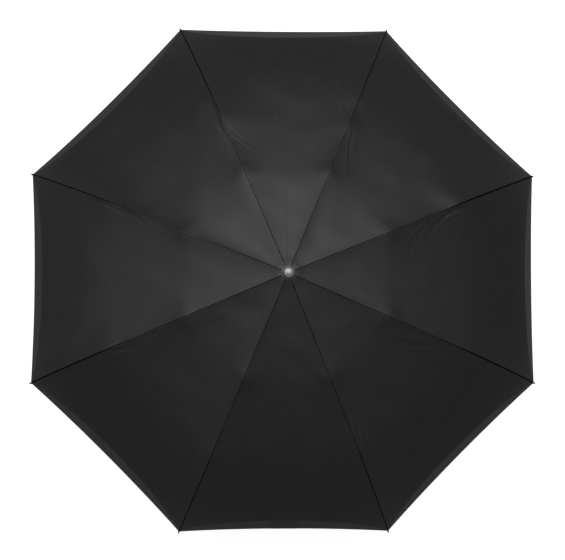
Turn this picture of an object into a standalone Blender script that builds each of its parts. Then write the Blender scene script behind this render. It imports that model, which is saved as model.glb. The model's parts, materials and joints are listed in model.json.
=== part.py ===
"""Folding umbrella, open: a three-fold steel frame on a telescoping shaft, with eight ribs and a sewn canopy.

Metres, +Z up. The origin is the middle of the handle's flat end, and the shaft runs up the Z axis.
Each rib lies in its own upright plane. In that plane's frame +X points away from the shaft, +Y runs
across the rib and +Z is up. Every moving piece has its origin on the axis that it turns or slides on.
"""
import math

import bmesh
import bpy
import numpy as np
from mathutils import Matrix, Vector, geometry

MM = 0.001
GAP = 0.3 * MM  # between pieces that touch or turn on each other

# Whole umbrella
RIB_COUNT = 8
FIRST_RIB_DEG = 22.5
CROWN_Z = 545 * MM  # the axis that the top ribs turn on
PIVOT_RADIUS = 9.0 * MM  # of the ring wires in the crown and the runner

# Rib lengths and slopes, open
TOP_RIB = 195 * MM
MIDDLE_RIB = 160 * MM
OUTER_RIB = 190 * MM
STRETCHER_AT = 104 * MM  # along the top rib, and the stretcher's own length
TOP_SLOPE = 14.0
MIDDLE_SLOPE = 18.5
OUTER_SLOPE = 24.0
OUTER_BEND = 26.0  # how far the outer rib's own curve turns down to its tip
TIP_WIRE = 5.5 * MM  # bare end of the outer rib, past the cloth

# Rib sections
RIB_WIDTH = 3.6 * MM
RIB_WALL = 0.6 * MM
RIB_WEB = 0.5 * MM
WEB_TOP = 2.1 * MM  # above the rib's pin line
CHEEK_LOW = 0.6 * MM  # below the rib's pin line
MIDDLE_WIDTH = 3.2 * MM
STRETCHER_WIDTH = 1.8 * MM
STRETCHER_HALF_DEPTH = 1.15 * MM
STRETCHER_WALL = 0.45 * MM
ROD_RADIUS = 1.2 * MM
ROD_TIP_RADIUS = 0.9 * MM
ROD_LIFT = 0.6 * MM  # rod's middle above the rib's pin line
ROD_START = 8 * MM  # from the second elbow's pin

# Rib joints
PIN_RADIUS = 0.5 * MM
WIRE_RADIUS = 0.45 * MM
EYE_RADIUS = 1.3 * MM
RING_EYE_RADIUS = 1.6 * MM
ELBOW_LIFT = 2.8 * MM  # first elbow's pin above the pin line, so that the ribs fold cloth side in
ELBOW_RADIUS = 1.9 * MM
KNEE_DROP = 1.2 * MM  # second elbow's pin below the pin line
CHEEK_THICKNESS = 0.5 * MM
CRANK = 7.0 * MM  # from the stretcher's upper pin to the control link's pin
LINK_THICKNESS = 0.8 * MM
LINK_DEPTH = 1.6 * MM
LINK_EYE_RADIUS = 1.5 * MM
LINK_EYE_WALL = 0.7 * MM
LINK_PLAY = 1.15 * MM  # slack of the link's outer eye on its pin
LINK_EYE_OFFSET = (-0.3 * MM, 0.75 * MM)  # eye's middle from that pin, open: half of what the pin wanders
FOLD_TURN = 90.0 - TOP_SLOPE
MIDDLE_LEAN = 0.5  # off upright, folded
MIDDLE_TURN = 90.0 - MIDDLE_LEAN + MIDDLE_SLOPE + FOLD_TURN

# Shaft
LOWER_TUBE_RADIUS = 6.0 * MM
TUBE_STEP = 1.0 * MM
TUBE_WALL = 0.6 * MM
LOWER_TUBE_BOTTOM = 12 * MM
TOP_TUBE_SHOWN = 153 * MM  # from the middle tube's mouth to the crown's ring wire, drawn out
MIDDLE_TUBE_SHOWN = 130 * MM
TUBE_OVERLAP = 30 * MM

# Crown and runner
COLLAR_RADIUS = 11.2 * MM
SLOT_WIDTH = 2.4 * MM
SLOT_FLOOR = 7.15 * MM
CROWN_HALF = 3.6 * MM
CROWN_SLEEVE = 6.6 * MM
CROWN_SLEEVE_LENGTH = 16 * MM
CROWN_TOP = 2.6 * MM
GROOVE_HALF = 0.8 * MM
RUNNER_HALF = 3.6 * MM
RUNNER_BORE = 6.4 * MM
RUNNER_SLEEVE = 10.0 * MM
RUNNER_LENGTH = 24 * MM  # below its ring wire
RUNNER_FLANGE = 12.5 * MM
RUNNER_FLANGE_THICKNESS = 3 * MM
BUTTON_WIDTH = 6.0 * MM
BUTTON_HEIGHT = 9.0 * MM
BUTTON_DEPTH = 1.6 * MM  # how far it stands out of the sleeve
SPRING_WIRE = 0.25 * MM
CATCH_WIDTH = 2.2 * MM
CATCH_LENGTH = 26 * MM
CATCH_STANDS = 1.9 * MM

# Handle
HANDLE_LENGTH = 72 * MM
HANDLE_RADIUS = 16.5 * MM
HANDLE_NECK = 12.5 * MM
END_CAP_HEIGHT = 9 * MM
END_CAP_RADIUS = 14.5 * MM
COLLAR_HEIGHT = 8 * MM
CORD_SLOT_WIDTH = 6 * MM
CORD_SLOT_DEPTH = 3.5 * MM
CORD_BAR = 2.5 * MM  # thickness of the bar that a wrist cord loops round

# Finial
WASHER_RADIUS = 10.0 * MM
WASHER_THICKNESS = 1.0 * MM
STUD_RADIUS = 2.2 * MM
FINIAL_RING_RADIUS = 9.6 * MM
FINIAL_RING_HEIGHT = 3.2 * MM
FINIAL_BEADS = 28
FINIAL_BEAD_DEPTH = 0.5 * MM
FINIAL_RADIUS = 7.8 * MM
FINIAL_HEIGHT = 9.0 * MM

# Canopy and strap
CLOTH = 0.5 * MM
CLOTH_LIFT = 3.1 * MM  # above the ribs' pin line
ELBOW_CLOTH_LIFT = 2.6 * MM  # further lift over the first elbow
CLOTH_HOLE = 3.0 * MM
CLOTH_FLAT = 10 * MM  # radius of the flat part on the crown
CLOTH_ACROSS = 4
HEM_DIP = 3.5 * MM  # how far the hem's middle lies inside the straight line
STRAP_WIDTH = 50 * MM
STRAP_LENGTH = 26 * MM
STRAP_THICKNESS = 1.0 * MM
SNAP_RADIUS = 5.0 * MM
SNAP_THICKNESS = 1.2 * MM

AROUND = 24  # facets round the shaft and handle
PIN_SIDES = 8
SLIVER = 0.08 * MM  # keeps the faces of joined solids from lying in one plane
EYE_SIDES = 12


# ---------------------------------------------------------------- materials

def material(name, rgb, rough, metal=0.0):
    """A plain Principled material."""
    made = bpy.data.materials.new(name)
    made.use_nodes = True
    shader = made.node_tree.nodes["Principled BSDF"]
    shader.inputs["Base Color"].default_value = (*rgb, 1.0)
    shader.inputs["Roughness"].default_value = rough
    shader.inputs["Metallic"].default_value = metal
    return made


def make_materials():
    """Every finish on the umbrella, by name."""
    return {
        "cloth": material("black_pongee", (0.020, 0.020, 0.022), 0.75),
        "zinc": material("zinc_plated_steel", (0.55, 0.56, 0.58), 0.35, 1.0),
        "painted": material("black_painted_steel", (0.02, 0.02, 0.02), 0.35, 0.6),
        "chrome": material("chromed_steel", (0.70, 0.70, 0.72), 0.15, 1.0),
        "nylon": material("black_nylon", (0.025, 0.025, 0.027), 0.45),
        "rubber": material("soft_touch_rubber", (0.03, 0.03, 0.03), 0.7),
        "pewter": material("nickel_plated_zinc", (0.48, 0.47, 0.46), 0.25, 1.0),
    }


# ---------------------------------------------------------------- shape helpers

def mesh_object(name, bm, smooth=True):
    """Links a bmesh as an object."""
    bmesh.ops.recalc_face_normals(bm, faces=bm.faces)
    mesh = bpy.data.meshes.new(name)
    bm.to_mesh(mesh)
    bm.free()
    if smooth:
        mesh.shade_smooth()
        mesh.set_sharp_from_angle(angle=math.radians(35))
    made = bpy.data.objects.new(name, mesh)
    bpy.context.scene.collection.objects.link(made)
    return made


def disc_points(x, z, radius, sides=EYE_SIDES):
    """A circle in the rib's plane."""
    turn = 2 * math.pi / sides
    return [(x + radius * math.cos(i * turn), z + radius * math.sin(i * turn)) for i in range(sides)]


def hull(points):
    """The outline round a set of points, in order."""
    return [points[i] for i in geometry.convex_hull_2d([Vector(p) for p in points])]


def prism(name, outline, low, high):
    """An outline in the X, Z plane, carried across from Y = low to Y = high."""
    bm = bmesh.new()
    near = [bm.verts.new((x, low, z)) for x, z in outline]
    face = bm.faces.new(near)
    grown = bmesh.ops.extrude_face_region(bm, geom=[face])
    moved = [v for v in grown["geom"] if isinstance(v, bmesh.types.BMVert)]
    bmesh.ops.translate(bm, verts=moved, vec=(0, high - low, 0))
    return mesh_object(name, bm)


def pin(name, x, z, radius, low, high, sides=PIN_SIDES):
    """A round pin, or a hole's cutter, across the rib."""
    return prism(name, disc_points(x, z, radius, sides), low, high)


def turned(name, profile, sides=AROUND):
    """A closed (radius, height) profile spun round the Z axis."""
    bm = bmesh.new()
    ring = [bm.verts.new((r, 0, z)) for r, z in profile]
    edges = [bm.edges.new((a, b)) for a, b in zip(ring, ring[1:] + ring[:1])]
    bmesh.ops.spin(bm, geom=ring + edges, cent=(0, 0, 0), axis=(0, 0, 1),
                   angle=2 * math.pi, steps=sides, use_merge=False)
    bmesh.ops.remove_doubles(bm, verts=bm.verts, dist=1e-6)
    return mesh_object(name, bm)


def tube_profile(inner, outer, low, high):
    """The section of a plain tube."""
    return [(inner, low), (outer, low), (outer, high), (inner, high)]


def box(name, low, high):
    """An upright box between two corners."""
    bm = bmesh.new()
    bmesh.ops.create_cube(bm, size=1.0)
    size = [b - a for a, b in zip(low, high)]
    middle = [(a + b) / 2 for a, b in zip(low, high)]
    bmesh.ops.scale(bm, vec=size, verts=bm.verts)
    bmesh.ops.translate(bm, vec=middle, verts=bm.verts)
    return mesh_object(name, bm, smooth=False)


def combine(base, others, operation):
    """Joins other solids to base, or cuts them from it, and removes them."""
    for other in others:
        step = base.modifiers.new(operation.lower(), "BOOLEAN")
        step.operation = operation
        step.object = other
        graph = bpy.context.evaluated_depsgraph_get()
        result = bpy.data.meshes.new_from_object(base.evaluated_get(graph))
        base.modifiers.clear()
        base.data = result
        bpy.data.objects.remove(other)
    base.data.shade_smooth()
    base.data.set_sharp_from_angle(angle=math.radians(35))
    return base


def channel(name, start, end, width, wall, low, high, web):
    """A U-channel along X, open downward."""
    half = width / 2
    inner = half - wall
    section = [(-half, low), (-inner, low), (-inner, high - web), (inner, high - web),
               (inner, low), (half, low), (half, high), (-half, high)]
    bm = bmesh.new()
    face = bm.faces.new([bm.verts.new((start, y, z)) for y, z in section])
    grown = bmesh.ops.extrude_face_region(bm, geom=[face])
    moved = [v for v in grown["geom"] if isinstance(v, bmesh.types.BMVert)]
    bmesh.ops.translate(bm, verts=moved, vec=(end - start, 0, 0))
    return mesh_object(name, bm)


def empty(name, place, turn=(0, 0, 0), parent=None):
    """A frame that pieces hang on."""
    made = bpy.data.objects.new(name, None)
    made.location = place
    made.rotation_euler = turn
    made.parent = parent
    bpy.context.scene.collection.objects.link(made)
    return made


def hang(piece, finish, parent, place=(0, 0, 0), turn=(0, 0, 0)):
    """Gives a piece its finish, and its place under its parent."""
    piece.data.materials.clear()
    piece.data.materials.append(finish)
    piece.parent = parent
    piece.location = place
    piece.rotation_euler = turn
    return piece


def copy_of(master, name):
    """Another object with the same mesh."""
    made = bpy.data.objects.new(name, master.data)
    bpy.context.scene.collection.objects.link(made)
    return made


# ---------------------------------------------------------------- rib pieces

def top_rib(name):
    """The inner rib: a steel channel with an eye on the crown's ring wire, and ears at the first elbow."""
    half = RIB_WIDTH / 2
    inner = half - RIB_WALL
    eye_half = SLOT_WIDTH / 2 - GAP
    piece = channel(name, 6 * MM, TOP_RIB - 7 * MM, RIB_WIDTH, RIB_WALL, -CHEEK_LOW, WEB_TOP, RIB_WEB)
    eye = disc_points(0, 0, RING_EYE_RADIUS)
    neck = [(12 * MM, -CHEEK_LOW + SLIVER), (12 * MM, WEB_TOP - SLIVER), (5 * MM, WEB_TOP - SLIVER)]
    parts = [prism("tab", hull(eye + neck), -eye_half, eye_half)]
    root = [(TOP_RIB - 9 * MM, -CHEEK_LOW + SLIVER), (TOP_RIB - 9 * MM, WEB_TOP - SLIVER)]
    ear = hull(root + disc_points(TOP_RIB, ELBOW_LIFT, ELBOW_RADIUS))
    outside = half - SLIVER
    inside = inner + SLIVER
    parts += [prism("ear", ear, inside, outside), prism("ear", ear, -outside, -inside)]
    parts.append(pin("rivet", STRETCHER_AT, 0, PIN_RADIUS, -half + 0.1 * MM, half - 0.1 * MM))
    piece = combine(piece, parts, "UNION")
    holes = [pin("hole", 0, 0, WIRE_RADIUS + GAP, -2 * half, 2 * half),
             pin("hole", TOP_RIB, ELBOW_LIFT, PIN_RADIUS + GAP, -2 * half, 2 * half)]
    return combine(piece, holes, "DIFFERENCE")


def stretcher(name):
    """The bar from the top rib's rivet, at its origin, in to the runner's ring wire."""
    half = STRETCHER_WIDTH / 2
    deep = STRETCHER_HALF_DEPTH
    reach = STRETCHER_AT
    piece = channel(name, 3 * MM, reach - 3 * MM, STRETCHER_WIDTH, STRETCHER_WALL, -deep, deep, 0.6 * MM)
    side = half - SLIVER
    edge = deep - SLIVER
    root = [(5 * MM, -edge), (5 * MM, edge)]
    end = [(reach - 5 * MM, -edge), (reach - 5 * MM, edge)]
    angle = math.radians(-TOP_SLOPE)
    crank = (CRANK * math.cos(angle), CRANK * math.sin(angle))
    parts = [prism("eye", hull(disc_points(0, 0, EYE_RADIUS) + root), -side, side),
             prism("eye", hull(disc_points(reach, 0, RING_EYE_RADIUS) + end), -side, side)]
    lug = hull(disc_points(*crank, 1.1 * MM) + [(3.5 * MM, -deep + 0.2 * MM), (10 * MM, -deep + 0.2 * MM)])
    parts.append(prism("lug", lug, -side + SLIVER, side - SLIVER))
    far = link_plane() + LINK_THICKNESS + 0.3 * MM
    parts.append(pin("crank_pin", *crank, PIN_RADIUS, -half + 0.1 * MM, far))
    piece = combine(piece, parts, "UNION")
    holes = [pin("hole", 0, 0, PIN_RADIUS + GAP * 0.8, -2 * half, 2 * half),
             pin("hole", reach, 0, WIRE_RADIUS + GAP, -2 * half, 2 * half)]
    return combine(piece, holes, "DIFFERENCE")


def bracket_inside():
    """Half of the clear width between the first elbow's outer cheeks."""
    return RIB_WIDTH / 2 + GAP


def knee_inside():
    """Half of the clear width between the second elbow's outer cheeks."""
    return MIDDLE_WIDTH / 2 + GAP


def link_plane():
    """The near side of the control link, across from the rib's middle plane."""
    return bracket_inside() + CHEEK_THICKNESS + GAP


def link_crank():
    """How far the control link's outer pin stands from the first elbow's pin."""
    return CRANK * math.sin(math.radians(FOLD_TURN)) / math.sin(math.radians(MIDDLE_TURN / 2))


def link_pin_angle():
    """Where that pin stands, in the middle rib's frame, in radians from +X towards +Z."""
    open_angle = -90.0 - MIDDLE_TURN / 2
    bend = MIDDLE_SLOPE - TOP_SLOPE
    return math.radians(open_angle + bend)


def middle_rib(name):
    """The middle rib: a channel whose outer cheeks straddle the top rib. Its origin is the first elbow's pin."""
    half = MIDDLE_WIDTH / 2
    inner = half - RIB_WALL
    line = -ELBOW_LIFT
    low = line - CHEEK_LOW
    high = line + WEB_TOP
    piece = channel(name, 8 * MM, MIDDLE_RIB - 7 * MM, MIDDLE_WIDTH, RIB_WALL, low, high, RIB_WEB)
    side = bracket_inside()
    out = side + CHEEK_THICKNESS
    angle = link_pin_angle()
    far_pin = (link_crank() * math.cos(angle), link_crank() * math.sin(angle))
    nose = hull(disc_points(0, 0, ELBOW_RADIUS) + disc_points(*far_pin, 1.2 * MM))
    arm = hull(disc_points(0, 0, ELBOW_RADIUS) + [(15 * MM, low + 0.9 * MM), (15 * MM, high)])
    parts = [box("bridge", (8.2 * MM, -out + SLIVER, high - 1.3 * MM), (15.2 * MM, out - SLIVER, high - SLIVER))]
    parts += [prism("cheek", arm, side, out), prism("cheek", arm, -out, -side)]
    parts.append(prism("nose", nose, side + SLIVER, out - SLIVER))
    parts.append(pin("rivet", 0, 0, PIN_RADIUS, -out + 0.1 * MM, out - 0.1 * MM))
    parts.append(pin("link_pin", *far_pin, PIN_RADIUS, side + 0.1 * MM, link_plane() + LINK_THICKNESS + 0.3 * MM))
    knee = line - KNEE_DROP
    root = [(MIDDLE_RIB - 9 * MM, low + SLIVER), (MIDDLE_RIB - 9 * MM, high - SLIVER)]
    ear = hull(root + disc_points(MIDDLE_RIB, knee, ELBOW_RADIUS))
    outside = half - SLIVER
    inside = inner + SLIVER
    parts += [prism("ear", ear, inside, outside), prism("ear", ear, -outside, -inside)]
    piece = combine(piece, parts, "UNION")
    hole = pin("hole", MIDDLE_RIB, knee, PIN_RADIUS + GAP, -2 * half, 2 * half)
    return combine(piece, [hole], "DIFFERENCE")


def rod_point(distance):
    """(x, z, turn) of the rod's middle line in the outer rib's frame, at a distance from the knee's pin."""
    lift = KNEE_DROP + ROD_LIFT
    if distance <= ROD_START:
        return distance, lift, 0.0
    turn = math.radians(OUTER_BEND) * (distance - ROD_START) / (OUTER_RIB + TIP_WIRE - ROD_START)
    radius = (OUTER_RIB + TIP_WIRE - ROD_START) / math.radians(OUTER_BEND)
    return ROD_START + radius * math.sin(turn), lift - radius * (1 - math.cos(turn)), turn


def rod_curve(count=9):
    """Points along the outer rib's rod, which bends evenly down to its tip."""
    end = OUTER_RIB + TIP_WIRE
    return [rod_point(ROD_START + (end - ROD_START) * i / (count - 1)) for i in range(count)]


def rod(name, sides=8):
    """The outer rib's springy rod, thinner towards its tip."""
    bm = bmesh.new()
    rings = []
    course = rod_curve()
    for i, (x, z, turn) in enumerate(course):
        radius = ROD_RADIUS + (ROD_TIP_RADIUS - ROD_RADIUS) * i / (len(course) - 1)
        ring = []
        for k in range(sides):
            a = 2 * math.pi * (k + 0.5) / sides
            up = radius * math.sin(a)
            ring.append(bm.verts.new((x + up * math.sin(turn), radius * math.cos(a), z + up * math.cos(turn))))
        rings.append(ring)
    for a, b in zip(rings, rings[1:]):
        for k in range(sides):
            m = (k + 1) % sides
            bm.faces.new((a[k], a[m], b[m], b[k]))
    bm.faces.new(rings[0])
    bm.faces.new(rings[-1])
    return mesh_object(name, bm)


def outer_rib(name):
    """The outer rib: a bent rod, with cheeks that straddle the middle rib. Its origin is the second elbow's pin."""
    side = knee_inside()
    out = side + CHEEK_THICKNESS
    piece = rod(name)
    line = KNEE_DROP
    top = line + 1.3 * MM
    bottom = line - CHEEK_LOW
    arm = hull(disc_points(0, 0, ELBOW_RADIUS) + [(14 * MM, bottom), (14 * MM, top)])
    parts = [box("bridge", (7.6 * MM, -out + SLIVER, bottom + SLIVER), (14.2 * MM, out - SLIVER, top - SLIVER))]
    parts += [prism("cheek", arm, side, out), prism("cheek", arm, -out, -side)]
    parts.append(pin("rivet", 0, 0, PIN_RADIUS, -out + 0.1 * MM, out - 0.1 * MM))
    return combine(piece, parts, "UNION")


def control_link(name):
    """The flat link that folds the middle rib. Its origin is its pin on the stretcher."""
    low = link_plane()
    high = low + LINK_THICKNESS
    start, end = link_ends()
    length = (Vector(end) - Vector(start)).length
    half = LINK_DEPTH / 2
    bar = [(0, -half), (length, -half), (length, half), (0, half)]
    piece = prism(name, bar, low + SLIVER, high - SLIVER)
    wide = PIN_RADIUS + LINK_PLAY
    eye = (length + LINK_EYE_OFFSET[0], -LINK_EYE_OFFSET[1])
    parts = [prism("eye", disc_points(0, 0, LINK_EYE_RADIUS), low, high),
             prism("eye", disc_points(*eye, wide + LINK_EYE_WALL), low, high)]
    piece = combine(piece, parts, "UNION")
    holes = [pin("hole", 0, 0, PIN_RADIUS + GAP, low - MM, high + MM),
             pin("hole", *eye, wide, low - MM, high + MM, 2 * PIN_SIDES)]
    return combine(piece, holes, "DIFFERENCE")


def link_ends():
    """The control link's two pins in the top rib's frame, open."""
    at = math.radians(-90.0 - FOLD_TURN)
    start = (STRETCHER_AT + CRANK * math.cos(at), CRANK * math.sin(at))
    at = math.radians(-90.0 - MIDDLE_TURN / 2)
    end = (TOP_RIB + link_crank() * math.cos(at), ELBOW_LIFT + link_crank() * math.sin(at))
    return start, end


def build_ribs(finish):
    """Eight sets of top rib, stretcher, control link, middle rib and outer rib."""
    masters = {
        "top_rib": top_rib("top_rib_1"),
        "stretcher": stretcher("stretcher_1"),
        "control_link": control_link("control_link_1"),
        "middle_rib": middle_rib("middle_rib_1"),
        "outer_rib": outer_rib("outer_rib_1"),
    }
    start, end = link_ends()
    link_tilt = -math.atan2(end[1] - start[1], end[0] - start[0])
    stretcher_turn = math.radians(180.0 - 2 * TOP_SLOPE) * -1.0
    for k in range(RIB_COUNT):
        angle = math.radians(FIRST_RIB_DEG + 360.0 / RIB_COUNT * k)
        plane = empty(f"rib_plane_{k + 1}", (0, 0, CROWN_Z), (0, 0, angle))
        set_of = {n: m if k == 0 else copy_of(m, f"{n}_{k + 1}") for n, m in masters.items()}
        top = hang(set_of["top_rib"], finish["painted"], plane, (PIVOT_RADIUS, 0, 0),
                   (0, math.radians(TOP_SLOPE), 0))
        hang(set_of["stretcher"], finish["painted"], top, (STRETCHER_AT, 0, 0),
             (0, -stretcher_turn, 0))
        hang(set_of["control_link"], finish["zinc"], top, (start[0], 0, start[1]), (0, link_tilt, 0))
        middle = hang(set_of["middle_rib"], finish["painted"], top, (TOP_RIB, 0, ELBOW_LIFT),
                      (0, math.radians(MIDDLE_SLOPE - TOP_SLOPE), 0))
        hang(set_of["outer_rib"], finish["zinc"], middle, (MIDDLE_RIB, 0, -ELBOW_LIFT - KNEE_DROP),
             (0, math.radians(OUTER_SLOPE - MIDDLE_SLOPE), 0))


# ---------------------------------------------------------------- shaft

def tube_radius(step):
    """Outer radius of the shaft's tubes, counted up from the lowest."""
    return LOWER_TUBE_RADIUS - step * TUBE_STEP


def tube(name, step, low, high):
    """A steel tube whose mouth is rolled in over its top edge."""
    outer = tube_radius(step)
    inner = outer - TUBE_WALL
    lip = 0.4 * MM
    profile = [(inner, low), (outer, low), (outer, high - lip), (outer - lip / 2, high), (inner, high)]
    return turned(name, profile, 24)


def build_shaft(finish):
    """Three telescoping tubes, and the catch that holds the runner up."""
    middle_high = CROWN_Z - TOP_TUBE_SHOWN
    lower_high = middle_high - MIDDLE_TUBE_SHOWN
    middle_low = lower_high - TUBE_OVERLAP
    top_low = middle_high - TUBE_OVERLAP
    top_high = CROWN_Z - MM
    lower = tube("lower_tube", 0, 0, lower_high - LOWER_TUBE_BOTTOM)
    hang(lower, finish["zinc"], None, (0, 0, LOWER_TUBE_BOTTOM))
    middle = tube("middle_tube", 1, 0, middle_high - middle_low)
    hang(middle, finish["zinc"], None, (0, 0, middle_low))
    top = tube("top_tube", 2, 0, top_high - top_low)
    slot_low = runner_z() - RUNNER_LENGTH - CATCH_LENGTH - top_low - MM
    slot_high = runner_z() - RUNNER_LENGTH - top_low + MM
    half = CATCH_WIDTH / 2 + GAP
    slot = box("catch_slot", (0, -half, slot_low), (2 * tube_radius(2), half, slot_high))
    combine(top, [slot], "DIFFERENCE")
    hang(top, finish["zinc"], None, (0, 0, top_low))
    hang(catch("runner_catch"), finish["chrome"], None, (0, 0, runner_z() - RUNNER_LENGTH))


def catch(name):
    """A bent spring-steel tongue. Its shoulder stands out of the top tube, just under the runner."""
    outer = tube_radius(2)
    back = outer - TUBE_WALL - 1.6 * MM
    nose = outer + CATCH_STANDS
    shoulder = -GAP
    outline = [(back, -CATCH_LENGTH), (back + 0.8 * MM, -CATCH_LENGTH), (back + 0.9 * MM, -CATCH_LENGTH + 6 * MM),
               (nose, shoulder - 2.5 * MM), (nose, shoulder), (nose - 1.0 * MM, shoulder),
               (nose - 1.0 * MM, shoulder - 2.2 * MM), (back, -CATCH_LENGTH + 7 * MM)]
    return prism(name, outline, -CATCH_WIDTH / 2, CATCH_WIDTH / 2)


# ---------------------------------------------------------------- crown and runner

def runner_z():
    """Height of the runner's ring wire with the umbrella open."""
    return CROWN_Z - 2 * STRETCHER_AT * math.cos(math.radians(FOLD_TURN))


def notch_cutters(low, high):
    """One upright slot for each rib."""
    cutters = []
    half = SLOT_WIDTH / 2
    for k in range(RIB_COUNT):
        slot = box("slot", (SLOT_FLOOR, -half, low), (2 * COLLAR_RADIUS, half, high))
        turn = Matrix.Rotation(math.radians(FIRST_RIB_DEG + 360.0 / RIB_COUNT * k), 4, "Z")
        slot.data.transform(turn)
        cutters.append(slot)
    return cutters


def ring_wire(name):
    """The steel wire ring that a set of eyes turns on."""
    bm = bmesh.new()
    circle = bmesh.ops.create_circle(bm, radius=WIRE_RADIUS, segments=6)["verts"]
    bmesh.ops.rotate(bm, verts=circle, cent=(0, 0, 0), matrix=Matrix.Rotation(math.pi / 2, 3, "X"))
    bmesh.ops.translate(bm, verts=circle, vec=(PIVOT_RADIUS, 0, 0))
    bmesh.ops.spin(bm, geom=bm.verts[:] + bm.edges[:], cent=(0, 0, 0), axis=(0, 0, 1),
                   angle=2 * math.pi, steps=RIB_COUNT * 5, use_merge=False)
    bmesh.ops.remove_doubles(bm, verts=bm.verts, dist=1e-6)
    return mesh_object(name, bm)


def build_crown(finish):
    """The notched nylon crown on the top tube, and its ring wire."""
    bore = tube_radius(2) + GAP
    floor = PIVOT_RADIUS - WIRE_RADIUS - GAP
    top = CROWN_TOP
    profile = [(0, 0), (bore, 0), (bore, -CROWN_SLEEVE_LENGTH), (CROWN_SLEEVE, -CROWN_SLEEVE_LENGTH),
               (CROWN_SLEEVE, -CROWN_HALF - 1.5 * MM), (COLLAR_RADIUS - 1.5 * MM, -CROWN_HALF),
               (COLLAR_RADIUS, -CROWN_HALF + 1.0 * MM), (COLLAR_RADIUS, -GROOVE_HALF), (floor, -GROOVE_HALF),
               (floor, GROOVE_HALF), (COLLAR_RADIUS, GROOVE_HALF), (COLLAR_RADIUS, top - 1.0 * MM),
               (COLLAR_RADIUS - 1.5 * MM, top), (STUD_RADIUS, top), (STUD_RADIUS, top + stud_height()),
               (0, top + stud_height())]
    crown = turned_solid("crown", profile)
    combine(crown, notch_cutters(-3 * CROWN_HALF, CROWN_TOP - 0.9 * MM), "DIFFERENCE")
    hang(crown, finish["nylon"], None, (0, 0, CROWN_Z))
    hang(ring_wire("crown_ring_wire"), finish["zinc"], None, (0, 0, CROWN_Z))


def turned_solid(name, profile, sides=AROUND):
    """A profile whose first and last points lie on the Z axis, spun into a solid."""
    bm = bmesh.new()
    line = [bm.verts.new((r, 0, z)) for r, z in profile]
    edges = [bm.edges.new((a, b)) for a, b in zip(line, line[1:])]
    bmesh.ops.spin(bm, geom=line + edges, cent=(0, 0, 0), axis=(0, 0, 1),
                   angle=2 * math.pi, steps=sides, use_merge=False)
    bmesh.ops.remove_doubles(bm, verts=bm.verts, dist=1e-6)
    bmesh.ops.dissolve_degenerate(bm, edges=bm.edges, dist=1e-7)
    return mesh_object(name, bm)


def stud_height():
    """The crown's threaded stud reaches through the cloth and washer into the finial."""
    return cloth_room() + WASHER_THICKNESS + 2 * GAP + FINIAL_RING_HEIGHT + 2 * MM


def cloth_room():
    """Height between the crown's top and the washer, for the cloth and its gaps."""
    return CLOTH + 2 * GAP


def build_runner(finish):
    """The runner: a notched collar on a sleeve, with a thumb button."""
    floor = PIVOT_RADIUS - WIRE_RADIUS - GAP
    low = -RUNNER_LENGTH
    flange = low + RUNNER_FLANGE_THICKNESS
    profile = [(RUNNER_BORE, low), (RUNNER_FLANGE - 0.8 * MM, low), (RUNNER_FLANGE, low + 0.8 * MM),
               (RUNNER_FLANGE, flange - 0.8 * MM), (RUNNER_FLANGE - 0.8 * MM, flange),
               (RUNNER_SLEEVE, flange), (RUNNER_SLEEVE, -RUNNER_HALF - 2 * MM),
               (COLLAR_RADIUS, -RUNNER_HALF), (COLLAR_RADIUS, -GROOVE_HALF), (floor, -GROOVE_HALF),
               (floor, GROOVE_HALF), (COLLAR_RADIUS, GROOVE_HALF), (COLLAR_RADIUS, RUNNER_HALF - 0.6 * MM),
               (COLLAR_RADIUS - 0.6 * MM, RUNNER_HALF), (RUNNER_BORE, RUNNER_HALF)]
    runner = turned("runner", profile)
    cutters = notch_cutters(-RUNNER_HALF - 1.2 * MM, 2 * RUNNER_HALF)
    half_w = BUTTON_WIDTH / 2 + GAP
    half_h = BUTTON_HEIGHT / 2 + GAP
    middle = button_z()
    inside = RUNNER_BORE + 0.8 * MM
    cutters.append(box("window", (-half_w, -2 * RUNNER_SLEEVE, middle - half_h), (half_w, -inside, middle + half_h)))
    combine(runner, cutters, "DIFFERENCE")
    hang(runner, finish["nylon"], None, (0, 0, runner_z()))
    hang(ring_wire("runner_ring_wire"), finish["zinc"], None, (0, 0, runner_z()))
    hang(button("runner_button"), finish["nylon"], None, (0, 0, runner_z() + middle))
    hang(button_spring("button_spring"), finish["chrome"], None, (0, 0, runner_z() + middle))


def button_z():
    """Middle of the thumb button, above or below the runner's ring wire."""
    return (-RUNNER_HALF - 2 * MM - RUNNER_LENGTH + RUNNER_FLANGE_THICKNESS) / 2


def button(name):
    """The thumb button, which is pressed in towards the shaft."""
    back = -(RUNNER_SLEEVE - 0.2 * MM)
    front = -(RUNNER_SLEEVE + BUTTON_DEPTH)
    half_w = BUTTON_WIDTH / 2
    half_h = BUTTON_HEIGHT / 2
    piece = box(name, (-half_w, front, -half_h), (half_w, back, half_h))
    round_off = piece.modifiers.new("rounding", "BEVEL")
    round_off.width = 0.5 * MM
    round_off.segments = 2
    round_off.limit_method = "NONE"
    return piece


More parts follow.
